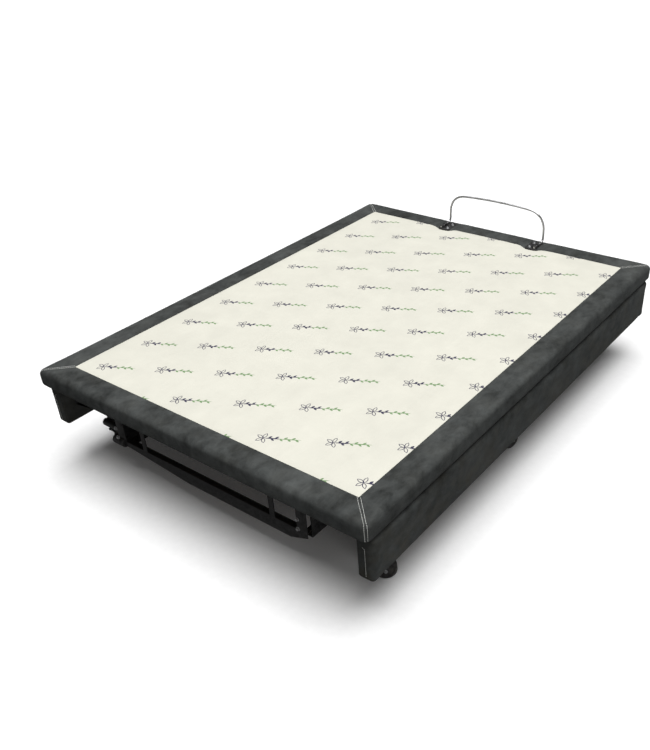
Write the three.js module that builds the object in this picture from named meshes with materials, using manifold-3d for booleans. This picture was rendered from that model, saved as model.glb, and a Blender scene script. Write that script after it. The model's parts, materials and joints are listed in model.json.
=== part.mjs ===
// Adjustable bed base: four padded deck sections on a steel chassis, inside padded rails, on six castors.
// Millimetres, +Z up. The origin is on the floor under the middle of the deck. +Y runs to the foot end and
// +X to the right-hand side of someone standing at the head end and looking along the bed.
import * as THREE from "three";
import { mergeVertices } from "three/addons/utils/BufferGeometryUtils.js";
import Module from "manifold-3d";

const wasm = await Module();
wasm.setup();

// ---------------------------------------------------------------- driving dimensions
const DECK_LENGTH = 2030;
const DECK_WIDTH = 1520;
const DECK_HEIGHT = 400; // floor to the top of the padding
const HEAD_LENGTH = 760;
const SEAT_LENGTH = 280;
const THIGH_LENGTH = 380; // the foot section takes what is left of the deck
const FOAM = 44; // padding above a deck board
const BOARD = 18; // plywood
const SKIRT = 12; // padding round the edge of a board
const TOP_EDGE_RADIUS = 20;
const BOTTOM_EDGE_RADIUS = 10;
const DECK_CORNER_RADIUS = 24;
const HEAD_TILT = 60; // degrees, how far the head section rises
const THIGH_TILT = 35; // degrees, how far the thigh section rises

const GAP = 0.3; // between pieces that touch
const FOLD_GAP = 1.5; // each side of a hinge line, between pads
const PAD_STEP = 0.5; // a pad's foot stands back this far from the edge of its board

const LEAF = 2.5; // hinge leaf
const LEAF_WIDTH = 32;
const KNUCKLE_RADIUS = 6;
const PIN_RADIUS = 3;
const PIN_CLEARANCE = 0.3;
const LEAF_CLEARANCE = 0.8; // a leaf to the other leaf's knuckles
const LEAF_BITE = 1.6; // how far a leaf's tongues run into its own knuckles
const KNUCKLES = 5;
const KNUCKLE_GAP = 1;

const RAIL_HEIGHT = 167;
const RAIL_THICKNESS = 60;
const RAIL_BOARD = 18;
const RAIL_PADDING = 5; // above, below and at the ends of a rail board
const RAIL_EDGE_RADIUS = 14;
const RAIL_DROP = 8; // underside of the deck to the top of a rail
const RAIL_INSET = 4; // edge of the deck to the outer face of a rail
const RAIL_HEAD_INSET = 26;
const RAIL_FOOT_INSET = 14;

const CHASSIS_WIDTH = 916;
const CHANNEL_HEIGHT = 120;
const CHANNEL_FLANGE = 43;
const STEEL = 3; // folded sheet
const RISER = 83; // top of the side channels to the underside of the deck
const RISER_WALL = 3;
const BEARING_PLATE = 6;
const END_FRAME_INSET = 77; // edge of the deck to an end frame
const END_FRAME_DEPTH = 23;

const BAR_DEPTH = 50; // the end frame's bar, at its deepest
const BAR_END_DEPTH = 22;
const BAR_TOP_ABOVE_CHANNEL = 33; // underside of the channels to the bar's top flange
const BAR_LEFT_TAPER = 300;
const BAR_RIGHT_TAPER = 75;
const BAR_END_RUN = 60;
const END_POST = 42;
const INNER_POST = 22;
const INNER_POST_SETBACK = 148; // side of the chassis to the middle of an inner post
const POST = 4; // post thickness
const COLLAR = { radius: 18, outside: 22, inside: 34 }; // lengths either side of the chassis's side

const SPIGOT_RADIUS = 15;
const SPIGOT_LENGTH = 140;
const SPIGOT_WALL = 2.5;
const SPIGOT_FLANGE = 50;
const SPIGOT_Z_ABOVE_CHANNEL = 26;
const CAP = { lip: 12, rim: 2, bevel: 4, crown: 7 };

const BEAM_WIDTH = 60;
const BEAM_HEIGHT = 40;
const HEAD_BEAM_HEIGHT = 80;
const BEAM_WALL = 2.5;
const ACTUATOR_CLEARANCE = 2; // actuators to the beams under them
const HEAD_BEAM_INSET = 185; // edge of the deck to the centre of a beam
const FOOT_BEAM_INSET = 217;
const MIDDLE_BEAM_OFFSET = 41; // centre of the middle beam, head side of the thigh hinge
const RAIL_PLATE = 4;
const RAIL_PLATE_HEIGHT = 95;
const RAIL_PLATE_WIDTH = 90;
const HEAD_RAIL_PLATE_REACH = 110; // the head beam's plates reach further towards the head

const LEG_INSET = 120; // edge of the deck to the centre of a leg
const LEG_RADIUS = 24;
const LEG_BORE_DEPTH = 40;

const WHEEL_RADIUS = 38;
const WHEEL_WIDTH = 30;
const WHEEL_EDGE = 7;
const AXLE_RADIUS = 4;
const WHEEL_BORE_CLEARANCE = 0.2;
const FORK_WALL = 3;
const FORK_SIDE_GAP = 2;
const FORK_CLEARANCE = 8; // wheel to crown
const CROWN = 6;
const CROWN_RADIUS = 26;
const STEM_RADIUS = 5.5;
const STEM_CLEARANCE = 0.4;
const STEM_LENGTH = 34;
const TRAIL = 28; // stem to axle, level
const CASTOR_TURNS = { head: [25, -51], middle: [-35, -12], foot: [60, 39] }; // degrees, left and right

const ACTUATOR_X = 130; // each actuator's distance from the middle of the bed
const CLEVIS_GAP = 28;
const CLEVIS_PLATE = 6;
const CLEVIS_RADIUS = 16;
const CLEVIS_PIN_RADIUS = 6;
const EYE_WIDTH = 24;
const EYE_RADIUS = 15;
const EYE_CLEARANCE = 0.4;
const ROD_RADIUS = 12;
const ROD_CLEARANCE = 0.4;
const SLEEVE_RADIUS = 24;
const GEARBOX = { length: 90, half: 31, height: 66, from: 22 };
const MOTOR_RADIUS = 29;
const MOTOR_LENGTH = 120;
const MOTOR_OFFSET = 56; // motor axis beside the rod
const SLOT_CLEARANCE = 3.2; // also takes up what a constant ratio leaves of the true swing
const MOTOR_TUBE = { depth: 30, height: 40, wall: 2.5, clear: 20 }; // clear of the actuator's eye

const HEAD_LEVER = 150;
const HEAD_PIVOT_REACH = 605; // head hinge to the head actuator's fixed pivot
const HEAD_SLEEVE = 330;
const HEAD_ROD_INSIDE = 190;
const LEG_LEVER = 90;
const LEG_PIVOT_REACH = 425; // thigh hinge to the leg actuator's fixed pivot
const LEG_SLEEVE = 250;
const LEG_ROD_INSIDE = 95;

const HEAD_ARM_TUBE = 30;
const HEAD_ARM_CLEARANCE = 55; // chassis flange to an end of the arm's tube
const HEAD_ARM_SETBACK = 35; // head hinge to the near face of the arm's tube
const HEAD_ARM_FOOT = { width: 60, length: 150 };

const LIFT_PIVOT_BACK = 45; // thigh hinge to the lift frame's pivot
const LIFT_PIVOT_DROP = 56; // thigh hinge down to the lift frame's pivot
const LIFT_TUBE_RADIUS = 19;
const LIFT_ARM_WIDTH = 40;
const LIFT_ARM_THICKNESS = 12;
const LIFT_ARM_CLEARANCE = 29; // chassis flange to the outer face of an arm
const JOURNAL_RADIUS = 10;
const JOURNAL_CLEARANCE = 0.4;
const LINK_PIN_RADIUS = 8;
const LINK_CLEARANCE = 1.5;
const FOOT_BRACKET = { length: 90, radius: 20, gap: 6, flange: 34, setback: 45 };

// Each box's clearance is from the chassis flange, and y is from the middle of the seat section.
const CONTROL_BOX = { width: 140, length: 120, height: 40, clearance: 45, y: 20 };
const POWER_SUPPLY = { width: 76, length: 150, height: 42, clearance: 77, y: 20 };
const BOX_EDGE = 6;
const BOX_TOP_EDGE = 1;
const SOCKET = { width: 14, height: 10, depth: 9 };

const BAR_WIRE = 4.5; // retainer bar, radius
const BAR_SPAN = 500;
const BAR_RISE = 150; // above the deck
const BAR_ARCH = 10;
const BAR_CORNER = 62;
const BAR_FOOT_BEND = 24;
const BAR_INSET = 20; // edge of the deck to the upright part of the bar
const PLATE = { width: 58, length: 84, thickness: 3, recess: 6, outer: 12, inset: 28, margin: 5 };
const SADDLE = { radius: 8, length: 13, clearance: 0.3, setback: 8, pitch: 28 };
const WIRE_TAIL = 2; // wire beyond its first saddle
const WIRE_STEPS = 48;

const STEPS = 4; // facets in a quarter of a padded edge

// ---------------------------------------------------------------- values that follow
const half = { x: DECK_WIDTH / 2, y: DECK_LENGTH / 2 };
const boardTop = DECK_HEIGHT - FOAM;
const boardBottom = boardTop - BOARD;
const boardHalf = half.x - SKIRT - GAP;
const headHinge = { y: -half.y + HEAD_LENGTH, z: boardTop };
const thighHinge = { y: headHinge.y + SEAT_LENGTH, z: boardTop };
const kneeHinge = { y: thighHinge.y + THIGH_LENGTH, z: boardBottom };
const boardGap = KNUCKLE_RADIUS + 1;

const railTop = boardBottom - RAIL_DROP;
const railBottom = railTop - RAIL_HEIGHT;
const railOuter = half.x - RAIL_INSET;
const railInner = railOuter - RAIL_THICKNESS;
const railHead = -half.y + RAIL_HEAD_INSET;
const railFoot = half.y - RAIL_FOOT_INSET;

const channelTop = boardBottom - RISER;
const channelBottom = channelTop - CHANNEL_HEIGHT;
const chassisHalf = CHASSIS_WIDTH / 2;
const flangeInner = chassisHalf - CHANNEL_FLANGE;
const frameFace = half.y - END_FRAME_INSET;
const channelEnd = frameFace - END_FRAME_DEPTH - GAP;
const beamY = {
  head: -half.y + HEAD_BEAM_INSET,
  middle: thighHinge.y - MIDDLE_BEAM_OFFSET,
  foot: half.y - FOOT_BEAM_INSET,
};
const legX = half.x - LEG_INSET;
const innerPostX = chassisHalf - INNER_POST_SETBACK;
const headArmEnd = flangeInner - HEAD_ARM_CLEARANCE;
const liftArmX = flangeInner - LIFT_ARM_CLEARANCE;
const crownTop = 2 * WHEEL_RADIUS + FORK_CLEARANCE + CROWN;

const radians = THREE.MathUtils.degToRad;
// A lever's swing through a tilt, half of it each side of upright.
const chord = (reach, tilt) => ({
  across: reach * Math.sin(radians(tilt / 2)),
  drop: reach * Math.cos(radians(tilt / 2)),
  sag: reach * (1 - Math.cos(radians(tilt / 2))),
});
const headSwing = chord(HEAD_LEVER, HEAD_TILT);
const headEye = { y: headHinge.y + headSwing.across, z: headHinge.z - headSwing.drop };
const headPivot = { y: headHinge.y + HEAD_PIVOT_REACH, z: headEye.z };
const liftPivot = { y: thighHinge.y + LIFT_PIVOT_BACK, z: thighHinge.z - LIFT_PIVOT_DROP };
const legSwing = chord(LEG_LEVER, THIGH_TILT);
const legEye = { y: liftPivot.y - legSwing.across, z: liftPivot.z - legSwing.drop };
const legPivot = { y: thighHinge.y - LEG_PIVOT_REACH, z: legEye.z };
const linkPivot = {
  y: liftPivot.y + kneeHinge.y - thighHinge.y,
  z: liftPivot.z + kneeHinge.z - thighHinge.z,
};

const actuatorUnderside = Math.min(headEye.z - MOTOR_RADIUS, legEye.z - ROD_RADIUS);
const beamBottom = actuatorUnderside - ACTUATOR_CLEARANCE - BEAM_HEIGHT;

// ---------------------------------------------------------------- materials
const finish = (color, roughness, metalness = 0) =>
  new THREE.MeshStandardMaterial({ color, roughness, metalness });
const upholstery = finish(0x3f4142, 0.95);
const plywood = finish(0xb98f5f, 0.75);
const blackSteel = finish(0x1b1b1c, 0.45, 0.6);
const zinc = finish(0xa9abad, 0.35, 0.9);
const wire = finish(0x8f9092, 0.3, 0.95);
const blackPlastic = finish(0x141415, 0.5);
const greyPlastic = finish(0x8d8f8a, 0.55);
const tread = finish(0x1d1d1e, 0.7);
const aluminium = finish(0xb8babd, 0.35, 0.9);

// ---------------------------------------------------------------- solids
// Turns a closed geometry into a solid that can be joined and cut.
function solid(geometry) {
  const bare = geometry.index ? geometry.clone() : geometry;
  bare.deleteAttribute("normal");
  bare.deleteAttribute("uv");
  const merged = mergeVertices(bare, 1e-4);
  return new wasm.Manifold(
    new wasm.Mesh({
      numProp: 3,
      vertProperties: new Float32Array(merged.attributes.position.array),
      triVerts: new Uint32Array(merged.index.array),
    }),
  );
}

function geometryOf(body) {
  const { vertProperties, triVerts } = body.getMesh();
  const geometry = new THREE.BufferGeometry()
    .setAttribute("position", new THREE.BufferAttribute(vertProperties, 3))
    .setIndex(new THREE.BufferAttribute(triVerts, 1))
    .toNonIndexed();
  geometry.computeVertexNormals();
  return geometry;
}

const join = (...bodies) => bodies.reduce((all, next) => all.add(next));
const cut = (body, ...tools) => tools.reduce((left, tool) => left.subtract(tool), body);
const common = (...bodies) => bodies.reduce((all, next) => all.intersect(next));

// The two ends of a stretch, measured outwards from the middle on one side of the bed, lowest first.
const onSide = (side) => (near, far) => [side * near, side * far].sort((a, b) => a - b);

function box([x0, x1], [y0, y1], [z0, z1]) {
  const shape = new THREE.BoxGeometry(x1 - x0, y1 - y0, z1 - z0);
  return solid(shape.translate((x0 + x1) / 2, (y0 + y1) / 2, (z0 + z1) / 2));
}

// A round bar along one axis, from one place to another, through a point of the other two.
function rodX(radius, [x0, x1], y, z, sides = 16) {
  const shape = new THREE.CylinderGeometry(radius, radius, x1 - x0, sides);
  return solid(shape.rotateZ(Math.PI / 2).translate((x0 + x1) / 2, y, z));
}

function rodY(radius, x, [y0, y1], z, sides = 16) {
  const shape = new THREE.CylinderGeometry(radius, radius, y1 - y0, sides);
  return solid(shape.translate(x, (y0 + y1) / 2, z));
}

function rodZ(radius, x, y, [z0, z1], sides = 16) {
  const shape = new THREE.CylinderGeometry(radius, radius, z1 - z0, sides);
  return solid(shape.rotateX(Math.PI / 2).translate(x, y, (z0 + z1) / 2));
}

const extrude = (outline, depth) =>
  new THREE.ExtrudeGeometry(outline, { depth, bevelEnabled: false, curveSegments: STEPS });
const polygon = (points) => new THREE.Shape(points.map(([a, b]) => new THREE.Vector2(a, b)));

// An outline of Y and Z drawn out along X, of X and Z along Y, and of X and Y along Z.
const sideways = new THREE.Matrix4().makeBasis(
  new THREE.Vector3(0, 1, 0),
  new THREE.Vector3(0, 0, 1),
  new THREE.Vector3(1, 0, 0),
);
const lengthways = new THREE.Matrix4().makeBasis(
  new THREE.Vector3(1, 0, 0),
  new THREE.Vector3(0, 0, 1),
  new THREE.Vector3(0, -1, 0),
);
const alongX = (outline, [x0, x1]) =>
  solid(extrude(outline, x1 - x0).applyMatrix4(sideways).translate(x0, 0, 0));
const alongY = (outline, [y0, y1]) =>
  solid(extrude(outline, y1 - y0).applyMatrix4(lengthways).translate(0, y1, 0));
const alongZ = (outline, [z0, z1]) => solid(extrude(outline, z1 - z0).translate(0, 0, z0));

// A rectangle with a radius of its own at each corner, in the order low-low, high-low, high-high, low-high.
function rounded([a0, a1], [b0, b1], [r00, r10, r11, r01]) {
  const shape = new THREE.Shape();
  const quarter = Math.PI / 2;
  shape.moveTo(a0 + r00, b0);
  shape.lineTo(a1 - r10, b0);
  if (r10) shape.absarc(a1 - r10, b0 + r10, r10, -quarter, 0);
  shape.lineTo(a1, b1 - r11);
  if (r11) shape.absarc(a1 - r11, b1 - r11, r11, 0, quarter);
  shape.lineTo(a0 + r01, b1);
  if (r01) shape.absarc(a0 + r01, b1 - r01, r01, quarter, 2 * quarter);
  shape.lineTo(a0, b0 + r00);
  if (r00) shape.absarc(a0 + r00, b0 + r00, r00, 2 * quarter, 3 * quarter);
  return shape;
}

// A flat bar with round ends between two points of the YZ plane.
function strap(from, to, width) {
  const angle = Math.atan2(to.z - from.z, to.y - from.y);
  const shape = new THREE.Shape();
  shape.absarc(to.y, to.z, width / 2, angle - Math.PI / 2, angle + Math.PI / 2);
  shape.absarc(from.y, from.z, width / 2, angle + Math.PI / 2, angle + (3 * Math.PI) / 2);
  return shape;
}

const root = new THREE.Group();
root.name = "adjustable_bed_base";

function add(group, name, body, material) {
  const mesh = new THREE.Mesh(geometryOf(body), material);
  mesh.name = name;
  group.add(mesh);
  return mesh;
}

// ---------------------------------------------------------------- deck boards
// Each end of a section is an edge of the deck, or a hinge whose leaves lie above or below the board.
const headEdge = { kind: "edge", y: -half.y };
const footEdge = { kind: "edge", y: half.y };
const headFold = { kind: "above", ...headHinge, tilt: HEAD_TILT };
const thighFold = { kind: "above", ...thighHinge, tilt: THIGH_TILT };
const kneeFold = { kind: "below", ...kneeHinge, tilt: 0 };

const standBack = (end) => (end.kind === "edge" ? SKIRT + GAP : boardGap);

function board(low, high) {
  const y = [low.y + standBack(low), high.y - standBack(high)];
  const plank = box([-boardHalf, boardHalf], y, [boardBottom, boardTop]);
  const rebate = LEAF + GAP;
  const run = KNUCKLE_RADIUS + LEAF_WIDTH + 1;
  const across = [-half.x, half.x];
  const level = {
    above: [boardTop - rebate, boardTop + 1],
    below: [boardBottom - 1, boardBottom + rebate],
  };
  const rebates = [low, high]
    .filter((end) => end.kind !== "edge")
    .map((end) => box(across, [end.y - run, end.y + run], level[end.kind]));
  return cut(plank, ...rebates);
}

// ---------------------------------------------------------------- deck pads
// A block with round edges where it meets the edge of the deck, cut back on a slope at a hinge that closes.
function padOutline(low, high) {
  const end = (fold) => {
    if (fold.kind === "edge") return null;
    const closing = fold.kind === "above";
    const foot = closing ? boardGap + PAD_STEP : FOLD_GAP;
    const top = closing ? FOAM * Math.tan(radians(fold.tilt / 2)) + FOLD_GAP : FOLD_GAP;
    return { foot, top };
  };
  const a = end(low);
  const b = end(high);
  const points = [];
  if (a) points.push([low.y + FOLD_GAP, boardBottom]);
  else points.push([low.y, boardBottom]);
  if (b) {
    points.push([high.y - FOLD_GAP, boardBottom], [high.y - FOLD_GAP, boardTop - GAP]);
    points.push([high.y - b.foot, boardTop], [high.y - b.top, DECK_HEIGHT]);
  } else points.push([high.y, boardBottom], [high.y, DECK_HEIGHT]);
  if (a) {
    points.push([low.y + a.top, DECK_HEIGHT], [low.y + a.foot, boardTop]);
    points.push([low.y + FOLD_GAP, boardTop - GAP]);
  } else points.push([low.y, DECK_HEIGHT]);
  return polygon(points);
}

function pad(low, high) {
  const isEdge = [low.kind === "edge", high.kind === "edge"];
  const edge = (radius) => isEdge.map((here) => (here ? radius : 0));
  const [lowTop, highTop] = edge(TOP_EDGE_RADIUS);
  const [lowBottom, highBottom] = edge(BOTTOM_EDGE_RADIUS);
  const [lowCorner, highCorner] = edge(DECK_CORNER_RADIUS);
  const x = [-half.x, half.x];
  const y = [low.y, high.y];
  const z = [boardBottom, DECK_HEIGHT];
  const sides = [BOTTOM_EDGE_RADIUS, BOTTOM_EDGE_RADIUS, TOP_EDGE_RADIUS, TOP_EDGE_RADIUS];
  const block = common(
    alongX(padOutline(low, high), x),
    alongX(rounded(y, z, [lowBottom, highBottom, highTop, lowTop]), x),
    alongY(rounded(x, z, sides), y),
    alongZ(rounded(x, y, [lowCorner, lowCorner, highCorner, highCorner]), z),
  );
  const inner = half.x - SKIRT;
  const reach = [low.y + (isEdge[0] ? SKIRT : -1), high.y - (isEdge[1] ? SKIRT : -1)];
  return cut(block, box([-inner, inner], reach, [boardBottom - 1, boardTop + GAP]));
}

// ---------------------------------------------------------------- hinges
// A leaf with its own knuckles: every second one, counted from the first for the leaf that stays put.
function leaf(fold, direction, first) {
  const reach = (near, far) => onSide(direction)(near, far).map((y) => fold.y + y);
  const z = fold.kind === "above" ? [fold.z - LEAF, fold.z] : [fold.z, fold.z + LEAF];
  const pitch = (2 * boardHalf) / KNUCKLES;
  const near = KNUCKLE_RADIUS + LEAF_CLEARANCE;
  const plate = box([-boardHalf, boardHalf], reach(near, KNUCKLE_RADIUS + LEAF_WIDTH), z);
  const rings = [];
  for (let i = first; i < KNUCKLES; i += 2) {
    const start = -boardHalf + i * pitch;
    const x = [start + KNUCKLE_GAP / 2, start + pitch - KNUCKLE_GAP / 2];
    rings.push(rodX(KNUCKLE_RADIUS, x, fold.y, fold.z, 12));
    rings.push(box(x, reach(KNUCKLE_RADIUS - LEAF_BITE, near + 1), z));
  }
  const hole = rodX(PIN_RADIUS + PIN_CLEARANCE, [-half.x, half.x], fold.y, fold.z, 12);
  return cut(join(plate, ...rings), hole);
}

const hingePin = (fold) => rodX(PIN_RADIUS, [-boardHalf, boardHalf], fold.y, fold.z, 12);

// ---------------------------------------------------------------- side rails and foot rail
function paddedBlock(x, y, z, radius) {
  const round = [radius, radius, radius, radius];
  return common(
    alongX(rounded(y, z, round), x),
    alongY(rounded(x, z, round), y),
    alongZ(rounded(x, y, round), z),
  );
}

function sideRail(side) {
  const span = onSide(side);
  const y = [railHead + RAIL_PADDING, railFoot - RAIL_PADDING];
  const z = [railBottom + RAIL_PADDING, railTop - RAIL_PADDING];
  const plank = box(span(railInner, railInner + RAIL_BOARD), y, z);
  const pocket = box(
    span(railInner - 1, railInner + RAIL_BOARD + GAP),
    [y[0] - GAP, y[1] + GAP],
    [z[0] - GAP, z[1] + GAP],
  );
  const outer = { x: span(railInner, railOuter), y: [railHead, railFoot], z: [railBottom, railTop] };
  const block = paddedBlock(outer.x, outer.y, outer.z, RAIL_EDGE_RADIUS);
  return { plank, cover: cut(block, pocket) };
}

function footRail() {
  const end = railInner - GAP;
  const inner = railFoot - RAIL_THICKNESS;
  const x = [-end + RAIL_PADDING, end - RAIL_PADDING];
  const z = [railBottom + RAIL_PADDING, railTop - RAIL_PADDING];
  const plank = box(x, [inner, inner + RAIL_BOARD], z);
  const pocket = box(
    [x[0] - GAP, x[1] + GAP],
    [inner - 1, inner + RAIL_BOARD + GAP],
    [z[0] - GAP, z[1] + GAP],
  );
  const block = paddedBlock([-end, end], [inner, railFoot], [railBottom, railTop], RAIL_EDGE_RADIUS);
  return { plank, cover: cut(block, pocket) };
}

// ---------------------------------------------------------------- chassis
function chassisSide(side) {
  const span = onSide(side);
  const y = [-channelEnd, channelEnd];
  const channel = cut(
    box(span(flangeInner, chassisHalf), y, [channelBottom, channelTop]),
    box(
      span(flangeInner - 1, chassisHalf - STEEL),
      [y[0] - 1, y[1] + 1],
      [channelBottom + STEEL, channelTop - STEEL],
    ),
  );
  const riserY = [headHinge.y + LEAF_WIDTH, thighHinge.y - BOARD];
  const riserZ = [channelTop - STEEL, boardBottom - GAP];
  const riser = cut(
    box(span(flangeInner, chassisHalf), riserY, riserZ),
    box(
      span(flangeInner + RISER_WALL, chassisHalf - RISER_WALL),
      [riserY[0] - 1, riserY[1] + 1],
      [channelTop, boardBottom - GAP - RISER_WALL],
    ),
  );
  const bearing = box(
    span(flangeInner, flangeInner + BEARING_PLATE),
    [riserY[1] - RISER_WALL, liftPivot.y + 2 * JOURNAL_RADIUS],
    [channelTop - STEEL, liftPivot.z + 2 * JOURNAL_RADIUS],
  );
  const holes = Object.entries(beamY).map(([place, middle]) =>
    box(
      span(flangeInner, chassisHalf + 1),
      [middle - BEAM_WIDTH / 2 - GAP, middle + BEAM_WIDTH / 2 + GAP],
      [beamBottom - GAP, beamBottom + beamHeight(place) + GAP],
    ),
  );
  const plateX = span(flangeInner - 1, flangeInner + BEARING_PLATE + 1);
  const journalHole = rodX(JOURNAL_RADIUS + JOURNAL_CLEARANCE, plateX, liftPivot.y, liftPivot.z);
  return cut(join(channel, riser, bearing), journalHole, ...holes);
}

function beamHeight(place) {
  return place === "head" ? HEAD_BEAM_HEIGHT : BEAM_HEIGHT;
}

// A cross beam: a square tube from rail to rail, with a leg tube under each end and an upright plate for
// the rail bolts.
function crossBeam(place) {
  const middle = beamY[place];
  const top = beamBottom + beamHeight(place);
  const end = railInner - GAP;
  const y = [middle - BEAM_WIDTH / 2, middle + BEAM_WIDTH / 2];
  const tube = cut(
    box([-end, end], y, [beamBottom, top]),
    box(
      [-end - 1, end + 1],
      [y[0] + BEAM_WALL, y[1] - BEAM_WALL],
      [beamBottom + BEAM_WALL, top - BEAM_WALL],
    ),
  );
  const towardsHead = place === "head" ? HEAD_RAIL_PLATE_REACH : RAIL_PLATE_WIDTH / 2;
  const plateY = [middle - towardsHead, middle + RAIL_PLATE_WIDTH / 2];
  const plateZ = [top - BEAM_WALL, Math.min(top + RAIL_PLATE_HEIGHT, railTop - RAIL_PADDING)];
  const plates = [-1, 1].map((side) => box(onSide(side)(end - RAIL_PLATE, end), plateY, plateZ));
  const legZ = [crownTop + GAP, beamBottom + BEAM_WALL / 2];
  const legs = [-1, 1].map((side) => rodZ(LEG_RADIUS, side * legX, middle, legZ, 20));
  const boreZ = [crownTop - 1, crownTop + LEG_BORE_DEPTH];
  const bores = [-1, 1].map((side) => rodZ(STEM_RADIUS + STEM_CLEARANCE, side * legX, middle, boreZ));
  return cut(join(tube, ...plates, ...legs), ...bores);
}

// The end frames: a folded bar across the chassis with posts up to the deck, which rests on them.
function endFrame(direction) {
  const barTop = channelBottom + BAR_TOP_ABOVE_CHANNEL;
  const across = onSide(direction);
  const face = across(frameFace - STEEL, frameFace);
  const endBottom = barTop - BAR_END_DEPTH;
  const middleBottom = barTop - BAR_DEPTH;
  const web = polygon([
    [-chassisHalf, barTop],
    [-chassisHalf, endBottom],
    [-chassisHalf + BAR_END_RUN, endBottom],
    [-chassisHalf + BAR_END_RUN + BAR_LEFT_TAPER, middleBottom],
    [chassisHalf - BAR_RIGHT_TAPER, middleBottom],
    [chassisHalf, endBottom],
    [chassisHalf, barTop],
  ]);
  const depth = across(frameFace - END_FRAME_DEPTH, frameFace);
  const flange = box([-chassisHalf, chassisHalf], depth, [barTop - STEEL, barTop]);
  const postFace = across(frameFace - POST, frameFace);
  const posts = [
    [-chassisHalf, -chassisHalf + END_POST],
    [-innerPostX - INNER_POST / 2, -innerPostX + INNER_POST / 2],
    [innerPostX - INNER_POST / 2, innerPostX + INNER_POST / 2],
    [chassisHalf - END_POST, chassisHalf],
  ].flatMap((x) => [
    box(x, postFace, [barTop - STEEL, boardBottom - GAP]),
    box(x, depth, [boardBottom - GAP - STEEL, boardBottom - GAP]),
  ]);
  return join(alongY(web, face), flange, ...posts);
}

function headEndFrame() {
  const barTop = channelBottom + BAR_TOP_ABOVE_CHANNEL;
  const x = [-chassisHalf - COLLAR.outside, -chassisHalf + COLLAR.inside];
  return join(endFrame(-1), rodX(COLLAR.radius, x, -frameFace + STEEL, barTop - COLLAR.radius / 2));
}

// A short capped spigot on the left-hand side channel, by the head end frame.
const spigotAxis = { y: -channelEnd + SPIGOT_FLANGE / 2, z: channelBottom + SPIGOT_Z_ABOVE_CHANNEL };

function sideSpigot() {
  const face = -chassisHalf - GAP;
  const flangeHalf = SPIGOT_FLANGE / 2;
  const flange = box(
    [face - POST, face],
    [spigotAxis.y - flangeHalf, spigotAxis.y + flangeHalf],
    [spigotAxis.z - flangeHalf, spigotAxis.z + flangeHalf],
  );
  const along = (radius, x) => rodX(radius, x, spigotAxis.y, spigotAxis.z, 20);
  const tube = along(SPIGOT_RADIUS, [face - SPIGOT_LENGTH, face - POST / 2]);
  const bore = along(SPIGOT_RADIUS - SPIGOT_WALL, [face - SPIGOT_LENGTH - 1, face - POST]);
  return cut(join(flange, tube), bore);
}

function spigotCap() {
  const end = -chassisHalf - GAP - SPIGOT_LENGTH - GAP;
  const inner = SPIGOT_RADIUS - SPIGOT_WALL - GAP;
  const profile = [
    [0, CAP.lip],
    [inner, CAP.lip],
    [inner, 0],
    [SPIGOT_RADIUS, 0],
    [SPIGOT_RADIUS, -CAP.rim],
    [SPIGOT_RADIUS - CAP.bevel, -CAP.rim - CAP.bevel],
    [0, -CAP.crown],
  ].map(([r, along]) => new THREE.Vector2(r, along));
  const lathe = new THREE.LatheGeometry(profile.reverse(), 20).rotateZ(-Math.PI / 2);
  return solid(lathe.translate(end, spigotAxis.y, spigotAxis.z));
}

// The width of one clevis plate, beside an actuator at x.
const clevisSpan = (x, side) =>
  onSide(side)(CLEVIS_GAP / 2, CLEVIS_GAP / 2 + CLEVIS_PLATE).map((value) => x + value);

// The tube that carries an actuator's fixed pivot: two clevis plates with a pin between them.
function motorTube(pivot, x, direction) {
  const near = pivot.y + direction * (EYE_RADIUS + MOTOR_TUBE.clear);
  const across = (from, to) => [from, to].sort((a, b) => a - b);
  const y = across(near, near + direction * MOTOR_TUBE.depth);
  const z = [pivot.z - MOTOR_TUBE.height / 2, pivot.z + MOTOR_TUBE.height / 2];
  const end = chassisHalf - STEEL - GAP;
  const wall = MOTOR_TUBE.wall;
  const tube = cut(
    box([-end, end], y, z),
    box([-end - 1, end + 1], [y[0] + wall, y[1] - wall], [z[0] + wall, z[1] - wall]),
  );
  const to = { y: near + direction * (wall / 2 - CLEVIS_RADIUS), z: pivot.z };
  const plates = [-1, 1].map((side) => {
    const spanX = clevisSpan(x, side);
    const plateY = across(pivot.y, near + (direction * wall) / 2);
    const plate = box(spanX, plateY, [pivot.z - CLEVIS_RADIUS, pivot.z + CLEVIS_RADIUS]);
    return join(alongX(strap(pivot, to, 2 * CLEVIS_RADIUS), spanX), plate);
  });
  const reach = CLEVIS_GAP / 2 + CLEVIS_PLATE;
  const pin = rodX(CLEVIS_PIN_RADIUS, [x - reach, x + reach], pivot.y, pivot.z);
  return join(tube, ...plates, pin);
}

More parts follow.
